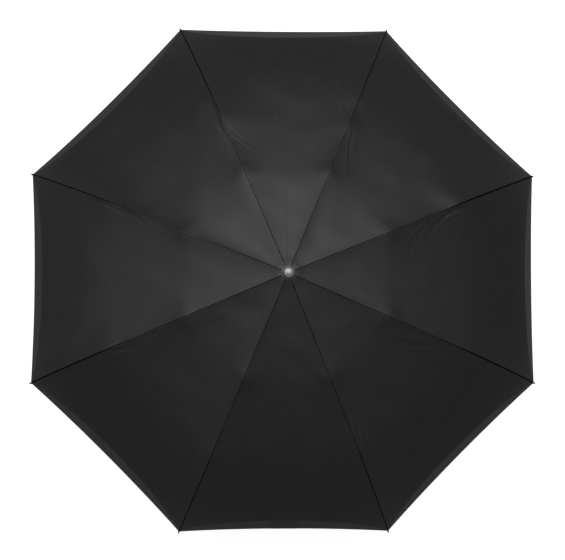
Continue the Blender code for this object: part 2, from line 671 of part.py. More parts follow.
def button_spring(name):
    """The bent leaf behind the thumb button."""
    near = RUNNER_BORE + 0.8 * MM + GAP
    far = RUNNER_SLEEVE - 0.2 * MM - GAP
    thick = SPRING_WIRE
    half = BUTTON_HEIGHT / 2 - 1 * MM
    top = [(-near, -half), (-near, half), (-near - thick, half), (-far, 0.6 * MM), (-far, -0.6 * MM), (-near - thick, -half)]
    inner = [(-near - thick * 0.4, -half + 0.6 * MM), (-near - thick * 0.4, half - 0.6 * MM)]
    bm = bmesh.new()
    outline = [top[1], top[2], top[3], top[4], top[5], top[0], inner[0], (-far + thick, 0), inner[1]]
    face = bm.faces.new([bm.verts.new((-BUTTON_WIDTH / 3, y, z)) for y, z in outline])
    grown = bmesh.ops.extrude_face_region(bm, geom=[face])
    moved = [v for v in grown["geom"] if isinstance(v, bmesh.types.BMVert)]
    bmesh.ops.translate(bm, verts=moved, vec=(2 * BUTTON_WIDTH / 3, 0, 0))
    return mesh_object(name, bm)


# ---------------------------------------------------------------- handle and finial

def build_handle(finish):
    """The rubber-coated grip, its nylon end cap and the metal collar at its top."""
    bore = LOWER_TUBE_RADIUS + GAP
    low = END_CAP_HEIGHT + GAP
    high = HANDLE_LENGTH - COLLAR_HEIGHT - GAP
    length = high - low
    bulge = [(0.00, 0.93), (0.12, 0.985), (0.35, 1.0), (0.60, 0.94), (0.80, 0.83), (0.93, 0.77)]
    outside = [(HANDLE_RADIUS * share, length * at) for at, share in bulge] + [(HANDLE_NECK, length)]
    floor = LOWER_TUBE_BOTTOM - low - GAP
    profile = [(0, 0)] + outside + [(bore, length), (bore, floor), (0, floor)]
    grip = turned_solid("handle_grip", profile)
    hang(grip, finish["rubber"], None, (0, 0, low))
    cap = [(0, 0), (END_CAP_RADIUS - 2.5 * MM, 0), (END_CAP_RADIUS - 0.7 * MM, 0.7 * MM),
           (END_CAP_RADIUS, 2.5 * MM), (HANDLE_RADIUS * bulge[0][1], END_CAP_HEIGHT), (0, END_CAP_HEIGHT)]
    end = turned_solid("handle_end_cap", cap)
    far = 2 * END_CAP_RADIUS
    half = CORD_SLOT_WIDTH / 2
    middle = END_CAP_HEIGHT / 2 + 0.5 * MM
    deep = CORD_SLOT_DEPTH / 2
    slot = box("cord_slot", (END_CAP_RADIUS - CORD_BAR - half, -far, middle - deep),
               (END_CAP_RADIUS - CORD_BAR, far, middle + deep))
    combine(end, [slot], "DIFFERENCE")
    hang(end, finish["nylon"], None)
    ring = [(bore, 0), (HANDLE_NECK, 0), (HANDLE_NECK, COLLAR_HEIGHT - 2 * MM),
            (HANDLE_NECK - 1.4 * MM, COLLAR_HEIGHT - 0.6 * MM), (HANDLE_NECK - 3 * MM, COLLAR_HEIGHT),
            (bore, COLLAR_HEIGHT)]
    collar = turned("handle_collar", ring)
    hang(collar, finish["pewter"], None, (0, 0, HANDLE_LENGTH - COLLAR_HEIGHT))


def build_finial(finish):
    """The washer, beaded ring and domed cap that clamp the cloth on the crown."""
    base = CROWN_Z + CROWN_TOP + cloth_room()
    bore = STUD_RADIUS + GAP
    washer = turned("cap_washer", tube_profile(bore, WASHER_RADIUS, 0, WASHER_THICKNESS))
    hang(washer, finish["nylon"], None, (0, 0, base))
    ring_low = base + WASHER_THICKNESS + GAP
    ring = turned("finial_ring", [(bore, 0), (FINIAL_RING_RADIUS - 0.8 * MM, 0),
                                  (FINIAL_RING_RADIUS, FINIAL_RING_HEIGHT * 0.5),
                                  (FINIAL_RING_RADIUS - 0.8 * MM, FINIAL_RING_HEIGHT), (bore, FINIAL_RING_HEIGHT)],
                  FINIAL_BEADS * 2)
    for v in ring.data.vertices:
        r = math.hypot(v.co.x, v.co.y)
        if r > FINIAL_RING_RADIUS - 1.0 * MM:
            beat = round(math.atan2(v.co.y, v.co.x) / (math.pi / FINIAL_BEADS)) % 2
            v.co.x *= (r - beat * FINIAL_BEAD_DEPTH) / r
            v.co.y *= (r - beat * FINIAL_BEAD_DEPTH) / r
    hang(ring, finish["pewter"], None, (0, 0, ring_low))
    low = FINIAL_RING_HEIGHT + GAP
    deep = 2 * MM - GAP + 0.6 * MM
    dome = [(0, deep), (bore, deep), (bore, 0), (FINIAL_RADIUS, 0), (FINIAL_RADIUS, 1.2 * MM)]
    for i in range(1, 7):
        a = math.pi / 2 * i / 6
        dome.append((FINIAL_RADIUS * math.cos(a), 1.2 * MM + (FINIAL_HEIGHT - 1.2 * MM) * math.sin(a)))
    dome[-1] = (0, FINIAL_HEIGHT)
    cap = turned_solid("finial_dome", dome)
    hang(cap, finish["pewter"], None, (0, 0, ring_low + low))


# ---------------------------------------------------------------- canopy and strap

def along(start, slope, distance, lift):
    """A point beside a straight rib, lifted square to it."""
    a = math.radians(slope)
    return (start[0] + distance * math.cos(a) + lift * math.sin(a),
            start[1] - distance * math.sin(a) + lift * math.cos(a))


def cloth_profile():
    """(radius, height) of the cloth's underside over a rib, from the crown out to the hem corner."""
    crown = (PIVOT_RADIUS, CROWN_Z)
    elbow = along(crown, TOP_SLOPE, TOP_RIB, 0)
    knee = along(elbow, MIDDLE_SLOPE, MIDDLE_RIB, 0)
    flat = CROWN_Z + CROWN_TOP + GAP
    points = [(CLOTH_HOLE, flat), (CLOTH_FLAT, flat)]
    for share in np.linspace(0.12, 1.0, 7):
        over = ELBOW_CLOTH_LIFT * share ** 4
        points.append(along(crown, TOP_SLOPE, TOP_RIB * share, CLOTH_LIFT + over))
    for share in np.linspace(0.15, 1.0, 5):
        over = ELBOW_CLOTH_LIFT * (1 - share) ** 3
        points.append(along(elbow, MIDDLE_SLOPE, MIDDLE_RIB * share, CLOTH_LIFT + over))
    for share in np.linspace(0.15, 1.0, 7):
        x, z, turn = rod_point(OUTER_RIB * share)
        over = CLOTH_LIFT - ROD_LIFT
        points.append(along(knee, OUTER_SLOPE, x + over * math.sin(turn), z - KNEE_DROP + over * math.cos(turn)))
    return points


def canopy(name):
    """The sewn cover: flat across each panel from rib to rib, with its hem drawn in between the tips."""
    profile = cloth_profile()
    bm = bmesh.new()
    panel = 2 * math.pi / RIB_COUNT
    around = RIB_COUNT * CLOTH_ACROSS
    hem = len(profile) - 1
    rings = {"under": [], "over": []}
    for i, (r, z) in enumerate(profile):
        before = profile[max(i - 1, 0)]
        after = profile[min(i + 1, hem)]
        slope = Vector((after[0] - before[0], after[1] - before[1])).normalized()
        lifted = (r - slope.y * CLOTH, z + slope.x * CLOTH)
        for side, (radius, height) in (("under", (r, z)), ("over", lifted)):
            ring = []
            for k in range(around):
                whole, part = divmod(k, CLOTH_ACROSS)
                t = part / CLOTH_ACROSS
                start = math.radians(FIRST_RIB_DEG) + panel * whole
                a = Vector((math.cos(start), math.sin(start)))
                b = Vector((math.cos(start + panel), math.sin(start + panel)))
                flat = a.lerp(b, t)
                dip = HEM_DIP * 4 * t * (1 - t) * (i / hem) ** 6 / radius
                flat *= radius * (1 - dip)
                ring.append(bm.verts.new((flat.x, flat.y, height)))
            rings[side].append(ring)
    for side in rings.values():
        for a, b in zip(side, side[1:]):
            for k in range(around):
                m = (k + 1) % around
                bm.faces.new((a[k], a[m], b[m], b[k]))
    for i in (0, hem):
        a = rings["under"][i]
        b = rings["over"][i]
        for k in range(around):
            m = (k + 1) % around
            bm.faces.new((a[k], a[m], b[m], b[k]))
    return mesh_object(name, bm, smooth=False)


def hem_middle():
    """(distance from the axis, height, slope) of the cloth's underside at the middle of a hem."""
    (r0, z0), (r1, z1) = cloth_profile()[-2:]
    inward = math.cos(math.pi / RIB_COUNT)
    slope = math.atan2((z0 - z1), (r1 - r0) * inward)
    return r1 * inward - HEM_DIP, z1, slope


def build_canopy(finish):
    """The cover, and the closing strap sewn behind the hem of one panel."""
    hang(canopy("canopy"), finish["cloth"], None)
    out, height, slope = hem_middle()
    frame = empty("strap_frame", (0, -out, height), (slope, 0, 0))
    inset = 2 * MM
    lift = GAP + 0.5 * MM
    half = STRAP_WIDTH / 2
    strap = box("closing_strap", (-half, inset, -lift - STRAP_THICKNESS), (half, inset + STRAP_LENGTH, -lift))
    hang(strap, finish["cloth"], frame)
    face = -lift - STRAP_THICKNESS - GAP
    for name, x in (("snap_cap", half - 2 * SNAP_RADIUS), ("snap_socket", -half + 2 * SNAP_RADIUS)):
        profile = [(0, 0), (SNAP_RADIUS - 1.2 * MM, 0), (SNAP_RADIUS, 0.5 * SNAP_THICKNESS),
                   (SNAP_RADIUS, SNAP_THICKNESS), (0, SNAP_THICKNESS)]
        snap = turned_solid(name, profile, 20)
        hang(snap, finish["pewter"], frame, (x, inset + STRAP_LENGTH / 2, face - SNAP_THICKNESS))


# ---------------------------------------------------------------- umbrella

def clear_scene():
    """Starts from an empty scene."""
    for old in list(bpy.data.objects):
        bpy.data.objects.remove(old)


clear_scene()
finishes = make_materials()
build_handle(finishes)
build_shaft(finishes)
build_runner(finishes)
build_crown(finishes)
build_ribs(finishes)
build_canopy(finishes)
build_finial(finishes)
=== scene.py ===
# %% [markdown]
# # A three-fold umbrella, standing open
# The umbrella is eight folding steel ribs on a telescoping tube, with a sewn cover of eight cloth panels.
# Its working skeleton is made already, to size, so this lesson loads that as a fixed frame.
# Every new piece is placed from the frame's own boxes and pins, and none is placed by eye.

# %% Load the frame
import json
import math

import bpy
import numpy as np
from mathutils import Matrix, Vector


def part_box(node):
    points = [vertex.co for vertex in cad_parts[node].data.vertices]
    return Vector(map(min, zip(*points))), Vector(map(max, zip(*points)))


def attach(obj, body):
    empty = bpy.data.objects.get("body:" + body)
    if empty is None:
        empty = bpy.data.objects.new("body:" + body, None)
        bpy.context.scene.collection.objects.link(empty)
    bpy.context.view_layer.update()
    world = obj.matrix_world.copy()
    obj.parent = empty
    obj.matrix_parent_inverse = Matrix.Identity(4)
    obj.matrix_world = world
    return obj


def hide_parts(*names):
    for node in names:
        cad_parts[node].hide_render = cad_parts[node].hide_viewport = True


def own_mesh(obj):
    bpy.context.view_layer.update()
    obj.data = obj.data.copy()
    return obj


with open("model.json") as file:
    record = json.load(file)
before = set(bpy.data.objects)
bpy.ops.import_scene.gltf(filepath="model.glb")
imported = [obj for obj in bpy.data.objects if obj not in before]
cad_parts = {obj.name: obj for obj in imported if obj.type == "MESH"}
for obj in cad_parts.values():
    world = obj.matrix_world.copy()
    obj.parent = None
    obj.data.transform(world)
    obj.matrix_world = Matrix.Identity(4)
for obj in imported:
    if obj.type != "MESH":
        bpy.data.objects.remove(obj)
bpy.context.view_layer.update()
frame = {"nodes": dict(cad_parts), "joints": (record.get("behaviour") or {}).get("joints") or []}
nodes = frame["nodes"]
MM = 0.001
RIBS = 8
HALF_PANEL = math.pi / RIBS
MIDLINE_SHARE = math.cos(HALF_PANEL)  # how much nearer the axis the middle of a hem is than its corners

# %% [markdown]
# Three helpers serve the whole lesson. Colours are written as a screen shows them and shaders want linear light,
# so the first converts them. The second adds one node to a material with its settings and links.
# The third makes an object from arrays, because numpy lays out thousands of cloth points faster than a loop does.

# %% Helpers
def linear(hex_colour):
    """A screen colour such as "1B1B1D" as linear red, green, blue and a full alpha."""
    parts = [int(hex_colour[i:i + 2], 16) / 255 for i in (0, 2, 4)]
    return [p / 12.92 if p <= 0.04045 else ((p + 0.055) / 1.055) ** 2.4 for p in parts] + [1.0]


def add(tree, kind, inputs=(), **settings):
    """Adds a node. inputs gives each socket a value, or another node's output to link."""
    made = tree.nodes.new(kind)
    for name, value in settings.items():
        setattr(made, name, value)
    for socket, value in dict(inputs).items():
        if isinstance(value, bpy.types.NodeSocket):
            tree.links.new(value, made.inputs[socket])
        else:
            made.inputs[socket].default_value = value
    return made


def piece(name, points, faces, finish=None, smooth=True):
    """An object from a list of points and a list of faces."""
    mesh = bpy.data.meshes.new(name)
    mesh.from_pydata([tuple(p) for p in np.asarray(points, float)], [], [tuple(int(i) for i in f) for f in faces])
    mesh.polygons.foreach_set("use_smooth", [smooth] * len(mesh.polygons))
    mesh.update()
    made = bpy.data.objects.new(name, mesh)
    bpy.context.scene.collection.objects.link(made)
    if finish:
        mesh.materials.append(finish)
    return made


print("helpers ready")

# %% [markdown]
# The umbrella is seen from straight above, a little off its axis, as if it hung under a camera on a crane.
# The camera is made first and aimed at a fixed height over the axis. A long lens, three metres away, keeps the
# eight corners nearly the same size.

# %% Camera
LOOK_HEIGHT = 0.432
CAMERA_AWAY = 3.0
CAMERA_LEAN = (math.radians(-2.20), math.radians(-3.05))  # off the axis, across and down
LENS = 106.06
AIM = (-0.0057, -0.0069)  # where the lens points, across and up from the axis, in metres
camera_data = bpy.data.cameras.new("camera")
camera_data.lens = LENS
camera_data.sensor_width = 36.0
camera_data.clip_end = 50.0
camera = bpy.data.objects.new("camera", camera_data)
bpy.context.scene.collection.objects.link(camera)
back = Vector((math.sin(CAMERA_LEAN[0]), math.sin(CAMERA_LEAN[1]), 1.0)).normalized()
camera.location = Vector((0, 0, LOOK_HEIGHT)) + back * CAMERA_AWAY
toward = (Vector((AIM[0], AIM[1], LOOK_HEIGHT)) - camera.location).normalized()
across_view = toward.cross(Vector((0, 1, 0))).normalized()  # looking down, +Y is the top of the picture
upward = across_view.cross(toward)
camera.rotation_mode = "QUATERNION"
camera.rotation_quaternion = Matrix((across_view, upward, -toward)).transposed().to_quaternion()
bpy.context.scene.camera = camera
print("camera at", [round(x, 3) for x in camera.location])

# %% [markdown]
# Black cloth only shows its shape through the light that it sends back. One broad softbox hangs high, tilted so
# that the far panels catch it and the near ones fall away into the dark. The floor and the surroundings look full
# white but light the cloth only faintly, because a white sky would wash the black out.

# %% Floor, surroundings and lights
scene = bpy.context.scene
scene.view_settings.view_transform = "Standard"
scene.view_settings.look = "None"
world = bpy.data.worlds.new("surroundings")
scene.world = world
world.use_nodes = True
sky = world.node_tree
sky.nodes.clear()
SKY_GLOW = 0.16
seen = add(sky, "ShaderNodeLightPath")
shown = add(sky, "ShaderNodeBackground", {"Color": (1, 1, 1, 1), "Strength": 1.0})
lit = add(sky, "ShaderNodeBackground", {"Color": (1, 1, 1, 1), "Strength": SKY_GLOW})
both = add(sky, "ShaderNodeMixShader", {0: seen.outputs["Is Camera Ray"], 1: lit.outputs[0], 2: shown.outputs[0]})
add(sky, "ShaderNodeOutputWorld", {"Surface": both.outputs[0]})

paper = bpy.data.materials.new("white_paper_sweep")
paper.use_nodes = True
sheet_shader = paper.node_tree.nodes["Principled BSDF"]
sheet_shader.inputs["Base Color"].default_value = linear("B4B4B4")
sheet_shader.inputs["Roughness"].default_value = 0.9
sheet_shader.inputs["Specular IOR Level"].default_value = 0.0
paper_seen = add(paper.node_tree, "ShaderNodeLightPath")
paper_glow = add(paper.node_tree, "ShaderNodeEmission", {"Color": (1, 1, 1, 1), "Strength": 0.92})
paper_both = add(paper.node_tree, "ShaderNodeMixShader", {
    0: paper_seen.outputs["Is Camera Ray"], 1: sheet_shader.outputs[0],
    2: add(paper.node_tree, "ShaderNodeAddShader", {0: sheet_shader.outputs[0], 1: paper_glow.outputs[0]}).outputs[0]})
paper.node_tree.links.new(paper_both.outputs[0], paper.node_tree.nodes["Material Output"].inputs["Surface"])
FLOOR_HALF = 6.0
floor = piece("floor", [(x, y, -0.0005) for x, y in
                        ((-FLOOR_HALF, -FLOOR_HALF), (FLOOR_HALF, -FLOOR_HALF),
                         (FLOOR_HALF, FLOOR_HALF), (-FLOOR_HALF, FLOOR_HALF))], [(0, 1, 2, 3)], paper)


def softbox(name, place, size, watts):
    """A wide area light aimed at the middle of the cover."""
    data = bpy.data.lights.new(name, "AREA")
    data.shape = "RECTANGLE"
    data.size, data.size_y = size
    data.energy = watts
    made = bpy.data.objects.new(name, data)
    bpy.context.scene.collection.objects.link(made)
    made.location = place
    made.rotation_mode = "QUATERNION"
    made.rotation_quaternion = (Vector((0, 0, 0.45)) - Vector(place)).to_track_quat("-Z", "Y")
    return made


key = softbox("key_softbox", (-0.05, 0.84, 3.2), (2.6, 1.6), 86)
fill = softbox("fill_softbox", (-2.6, 0.2, 2.2), (1.2, 1.2), 5)
print("lights:", key.name, fill.name)

# %% [markdown]
# ## Finishes
# Each finish is named for the real material. A faint change of roughness over the surface is what
# separates a real moulding or plating from a computer-smooth one, so every finish has one.

# %% One plain finish maker
def finish(name, colour, rough, metal=0.0, grain_mm=1.0, rough_spread=0.08, bump=0.1, stretch=(1, 1, 1), **sockets):
    """A Principled material with a fine noise in its roughness, colour and bump. grain_mm is the grain's real size."""
    made = bpy.data.materials.new(name)
    made.use_nodes = True
    tree = made.node_tree
    shader = tree.nodes["Principled BSDF"]
    place = add(tree, "ShaderNodeTexCoord")
    scaled = add(tree, "ShaderNodeMapping", {"Vector": place.outputs["Object"], "Scale": stretch})
    noise = add(tree, "ShaderNodeTexNoise", {"Vector": scaled.outputs[0], "Scale": 1 / (grain_mm * MM), "Detail": 3.0})
    spread = add(tree, "ShaderNodeMapRange", {"Value": noise.outputs["Fac"], "To Min": rough - rough_spread,
                                              "To Max": rough + rough_spread})
    tree.links.new(spread.outputs[0], shader.inputs["Roughness"])
    base = linear(colour)
    dull = [c * 0.82 for c in base[:3]] + [1.0]
    tint = add(tree, "ShaderNodeMix", {0: noise.outputs["Fac"], 6: dull, 7: base}, data_type="RGBA")
    tree.links.new(tint.outputs[2], shader.inputs["Base Color"])
    raised = add(tree, "ShaderNodeBump", {"Height": noise.outputs["Fac"], "Strength": bump, "Distance": 0.05 * MM})
    tree.links.new(raised.outputs[0], shader.inputs["Normal"])
    shader.inputs["Metallic"].default_value = metal
    for socket, value in sockets.items():
        shader.inputs[socket.replace("_", " ")].default_value = value
    return made


# Zinc-plated steel: a cool grey metal, drawn along the tube, so its grain runs lengthways.
zinc_steel = finish("zinc_plated_steel", "B4B8BC", 0.30, 1.0, grain_mm=0.8, stretch=(1, 1, 0.04), bump=0.15)
# Painted steel: black stove enamel over pressed strip, with the slight orange peel of dipped paint.
painted_steel = finish("black_enamelled_steel", "1A1A1B", 0.32, 0.0, grain_mm=1.2, bump=0.2, Coat_Weight=0.4)
# Spring steel: bright, bare and nearly polished.
spring_steel = finish("bare_spring_steel", "C9CBCD", 0.22, 1.0, grain_mm=0.6, bump=0.05)
# Moulded nylon: a satin black with the fine spark-eroded grain of its mould.
nylon = finish("moulded_black_nylon", "1C1C1E", 0.42, 0.0, grain_mm=0.35, bump=0.35)
# Soft-touch rubber paint: a dead-matt black that hardly reflects.
rubber = finish("soft_touch_rubber", "222224", 0.66, 0.0, grain_mm=0.25, rough_spread=0.05, bump=0.3)
# Nickel-plated zinc casting: a satin grey metal, darker than steel, that throws a broad soft highlight.
nickel = finish("nickel_plated_zinc_casting", "7B7A78", 0.46, 1.0, grain_mm=1.5, bump=0.08)
# Polyester thread: a twisted black yarn, duller than the cloth.
thread = finish("black_polyester_thread", "2A2A2C", 0.75, 0.0, grain_mm=0.4, bump=0.5)
print("finishes:", len(bpy.data.materials))

# %% [markdown]
# The cover is black pongee, a plain weave of fine polyester yarn with a calendered face, so it has a soft broad
# shine and almost no colour. A real thread is 0.15 mm wide, far too fine to show, so the yarns are drawn about
# 1.5 mm apart, each a little uneven. The pattern follows the cut of each panel, so it turns with the cloth.

# %% Cloth finish
YARN_MM = 1.5  # drawn ten times as coarse as it is, so that it shows
# Painted highlight: the hem band's colour is made lighter by this gain, standing in for the light that the band
# catches.
HEM_PAINTED_HIGHLIGHT_GAIN = 1.12  # the hem is pressed flat and catches more light
CLOTH_ROUGH = 0.50


def pongee(name, colour, sheen):
    """Black woven polyester. The map named cut holds metres from the seam and metres from the crown.

    The map named hem holds the half width of the seam's painted shadow line and the distance inside the hem's fold,
    where the band's colour is painted lighter as a painted highlight.
    """
    made = bpy.data.materials.new(name)
    made.use_nodes = True
    tree = made.node_tree
    shader = tree.nodes["Principled BSDF"]
    cut = add(tree, "ShaderNodeUVMap", uv_map="cut")
    streaks = []
    for stretch in ((1.0, 0.05, 1.0), (0.05, 1.0, 1.0)):
        drawn = add(tree, "ShaderNodeMapping", {"Vector": cut.outputs[0], "Scale": stretch})
        streaks.append(add(tree, "ShaderNodeTexNoise",
                           {"Vector": drawn.outputs[0], "Scale": 0.5 / (YARN_MM * MM), "Detail": 2.0}))
    woven = add(tree, "ShaderNodeMath", {0: streaks[0].outputs["Fac"], 1: streaks[1].outputs["Fac"]}, operation="ADD")
    fine = add(tree, "ShaderNodeTexNoise", {"Vector": cut.outputs[0], "Scale": 1 / (1.8 * MM), "Detail": 1.0})
    mixed = add(tree, "ShaderNodeMath", {0: woven.outputs[0], 1: fine.outputs["Fac"]}, operation="ADD")
    share = add(tree, "ShaderNodeMapRange", {"Value": mixed.outputs[0], "From Min": 1.1, "From Max": 1.9})
    base = linear(colour)
    dark = [c * 0.80 for c in base[:3]] + [1.0]
    light = [c * 1.20 for c in base[:3]] + [1.0]
    tint = add(tree, "ShaderNodeMix", {0: share.outputs[0], 6: dark, 7: light}, data_type="RGBA")
    hem = add(tree, "ShaderNodeUVMap", uv_map="hem")
    hem_parts = add(tree, "ShaderNodeSeparateXYZ", {0: hem.outputs[0]})
    # Painted highlight: inside the hem band the cloth's colour is lightened.
    pressed = add(tree, "ShaderNodeMapRange", {"Value": hem_parts.outputs[1], "From Min": 0.0, "From Max": -0.6 * MM})
    bright = [c * HEM_PAINTED_HIGHLIGHT_GAIN for c in base[:3]] + [1.0]
    with_painted_hem_highlight = add(tree, "ShaderNodeMix", {0: pressed.outputs[0], 6: tint.outputs[2], 7: bright}, data_type="RGBA")
    cut_parts = add(tree, "ShaderNodeSeparateXYZ", {0: cut.outputs[0]})
    off_seam = add(tree, "ShaderNodeMath", {0: cut_parts.outputs[0]}, operation="ABSOLUTE")
    outside = add(tree, "ShaderNodeMath", {0: hem_parts.outputs[0], 1: 1.5}, operation="MULTIPLY")
    inside = add(tree, "ShaderNodeMath", {0: hem_parts.outputs[0], 1: 0.7}, operation="MULTIPLY")
    # Painted shadow: along the seam the colour is near black and its shine is taken down, standing in for the shade in
    # the seam's groove.
    painted_seam_shadow = add(tree, "ShaderNodeMapRange", {"Value": off_seam.outputs[0], "From Min": outside.outputs[0],
                                               "From Max": inside.outputs[0]})
    with_painted_seam_shadow = add(tree, "ShaderNodeMix", {0: painted_seam_shadow.outputs[0], 6: with_painted_hem_highlight.outputs[2], 7: linear("020202")},
                    data_type="RGBA")
    tree.links.new(with_painted_seam_shadow.outputs[2], shader.inputs["Base Color"])
    rough = add(tree, "ShaderNodeMapRange", {"Value": share.outputs[0], "To Min": CLOTH_ROUGH - 0.05,
                                             "To Max": CLOTH_ROUGH + 0.05})
    dull = add(tree, "ShaderNodeMix", {0: painted_seam_shadow.outputs[0], 2: rough.outputs[0], 3: 1.0})
    tree.links.new(dull.outputs[0], shader.inputs["Roughness"])
    raised = add(tree, "ShaderNodeBump", {"Height": share.outputs[0], "Strength": 0.22, "Distance": 0.12 * MM})
    tree.links.new(raised.outputs[0], shader.inputs["Normal"])
    shine = add(tree, "ShaderNodeMix", {0: painted_seam_shadow.outputs[0], 2: 0.42, 3: 0.05})
    tree.links.new(shine.outputs[0], shader.inputs["Specular IOR Level"])
    shader.inputs["Sheen Weight"].default_value = sheen
    shader.inputs["Sheen Roughness"].default_value = 0.45
    return made


cloth = pongee("black_polyester_pongee", "181819", 0.05)
print("cloth finish:", cloth.name)

# %% [markdown]
# ## The cover
# A sewn cover hangs on its seams, and the seams lie along the ribs. So the ribs' line comes first: the frame's
# own plain cover has its corner points there, and a smooth curve through them gives the height at any distance.
# The first and second elbows divide that line into the three lengths that fold.

# %% The line of a seam
FIRST_RIB = math.radians(22.5)
plain = np.unique(np.round([v.co[:] for v in nodes["canopy"].data.vertices], 6), axis=0)
turn = np.arctan2(plain[:, 1], plain[:, 0])
over_rib = plain[np.abs(turn - FIRST_RIB) < 0.005]
over_rib = np.stack([np.hypot(over_rib[:, 0], over_rib[:, 1]), over_rib[:, 2]], 1)
over_rib = over_rib[np.argsort(over_rib[:, 0], kind="stable")]
seam = (over_rib[0::2] + over_rib[1::2]) / 2
seam_length = np.concatenate([[0], np.cumsum(np.hypot(*np.diff(seam, axis=0).T))])
seam_slope = np.gradient(seam, seam_length, axis=0)


def on_seam(s):
    """(distance from the axis, height) at a length along the seam from the crown, on a smooth curve."""
    s = np.clip(np.asarray(s, float), 0, seam_length[-1])
    i = np.clip(np.searchsorted(seam_length, s, side="right") - 1, 0, len(seam) - 2)
    step = (seam_length[i + 1] - seam_length[i])
    t = ((s - seam_length[i]) / step)[..., None]
    step = step[..., None]
    a, b, da, db = seam[i], seam[i + 1], seam_slope[i] * step, seam_slope[i + 1] * step
    return (a * (2 * t**3 - 3 * t**2 + 1) + da * (t**3 - 2 * t**2 + t)
            + b * (3 * t**2 - 2 * t**3) + db * (t**3 - t**2))


joint_place = {j["name"]: Vector(j["pos_m"]) for j in frame["joints"] if "pos_m" in j}
elbow_pin = joint_place["middle_rib_2_fold"]
knee_pin = joint_place["outer_rib_2_fold"]
fine_s = np.linspace(0, seam_length[-1], 2000)
fine_r = on_seam(fine_s)[:, 0]
HEM_S = seam_length[-1]
HEM_R = fine_r[-1]
CLAMP_R = 12 * MM  # inside this the cover is clamped flat to the crown
CROWN_S, ELBOW_S, KNEE_S = (float(np.interp(r, fine_r, fine_s))
                            for r in (CLAMP_R, elbow_pin.xy.length, knee_pin.xy.length))
print("seam in mm:", [round(x / MM, 1) for x in (CROWN_S, ELBOW_S, KNEE_S, HEM_S)])
print("hem corner at", round(HEM_R / MM, 1))

# %% [markdown]
# A stretched panel isn't flat. It is pulled straight along its seams and hangs a little between them, and the
# packed umbrella's folds leave faint creases. Where the ties hold the cloth down on an elbow it stands off in a
# small tent, with short creases running out of it. Each of these is one term of a height above the plain panel.
# For each rib, a tent is (place along the seam, length, height, how far it falls away to each side), in millimetres.
# For each (rib, side), a crease is (place, distance from the seam, angle to the rib, length, width, height).

# %% Sags, tents and creases
TENTS = {
    3: [(318, 34, 4.5, 11, 55), (350, 95, 4.0, 40, 90), (372, 40, 2.5, 20, 30)],
    2: [(305, 22, 2.6, 24, 20)],
    1: [(350, 30, 4.4, 60, 8), (268, 30, 1.2, 20, 14)],
    8: [(392, 24, 2.6, 30, 14), (300, 60, 1.6, 40, 24)],
    7: [(350, 40, 3.0, 14, 20)],
    5: [(356, 32, 3.8, 18, 36), (308, 24, 1.6, 22, 20)],
    4: [(355, 30, 3.8, 34, 14), (300, 26, 2.8, 30, 12)],
    6: [(372, 60, 1.0, 26, 22)],
}
CREASES = {
    (3, 1): [(300, 9, -14, 30, 3.0, -1.5), (345, 7, -8, 44, 3.0, -1.6), (395, 6, 10, 40, 3.0, -0.8)],
    (3, -1): [(268, 12, 38, 26, 2.6, 0.3), (252, 20, 44, 30, 3.0, -0.25), (285, 16, 30, 22, 2.4, 0.25)],
    (2, -1): [(285, 9, 12, 20, 2.4, 1.0), (272, 15, 22, 22, 2.4, -0.8), (290, 22, 8, 16, 2.4, 0.8),
              (250, 20, 16, 34, 3.0, 0.4)],
    (2, 1): [(280, 8, 10, 20, 2.4, 0.7), (262, 13, 18, 24, 2.6, -0.5)],
    (1, -1): [(342, 8, 2, 32, 3.4, -2.4), (366, 6, -10, 26, 2.6, 0.5), (282, 16, 34, 28, 2.8, 0.4),
              (268, 24, 40, 34, 3.0, -0.5), (252, 20, 30, 28, 2.6, 0.6), (300, 22, 28, 24, 2.8, -0.6)],
    (8, -1): [(330, 16, 14, 46, 3.4, 0.8), (300, 24, 18, 50, 3.6, -0.7), (268, 20, 14, 44, 3.2, 0.6),
              (350, 30, 24, 40, 3.2, 0.6), (240, 12, 10, 34, 3.0, -0.5)],
    (8, 1): [(392, 7, 8, 18, 2.4, 0.7)],
    (7, -1): [(312, 8, 10, 18, 2.4, 1.0)],
    (7, 1): [(352, 5, 4, 40, 2.6, -1.2), (330, 16, 24, 22, 2.6, 0.4)],
    (5, 1): [(352, 7, 8, 30, 2.8, -1.4), (318, 12, 30, 22, 2.6, 0.9), (306, 20, 38, 26, 2.6, -0.7),
             (330, 20, 24, 24, 2.6, 0.6)],
    (5, -1): [(350, 6, 6, 26, 2.4, 0.7), (476, 40, 0, 60, 26, 6.0)],
    (4, -1): [(392, 9, 2, 60, 2.6, 0.8), (300, 7, 8, 18, 2.4, 0.6)],
    (4, 1): [(352, 7, 10, 24, 2.6, -1.3), (300, 8, 16, 22, 2.6, -1.0), (318, 18, 26, 24, 2.8, 0.7),
             (335, 14, 30, 20, 2.4, 0.7)],
    (6, 1): [(360, 10, 12, 26, 2.8, 0.35)],
    (6, -1): [(330, 12, 10, 30, 2.8, -0.3)],
}
MIDLINE = {2: 0.45, 6: 0.10, 4: 0.12, 8: 0.12}  # depth of the pressed fold down the middle of a panel
# Each seam's gape also widens its painted shadow line near the hem.
OPEN_SEAM = {1: 1.1, 8: 1.0, 7: 0.4, 6: 0.4, 5: 1.0, 4: 0.5, 3: 0.5, 2: 0.3}  # how far each seam gapes near the hem
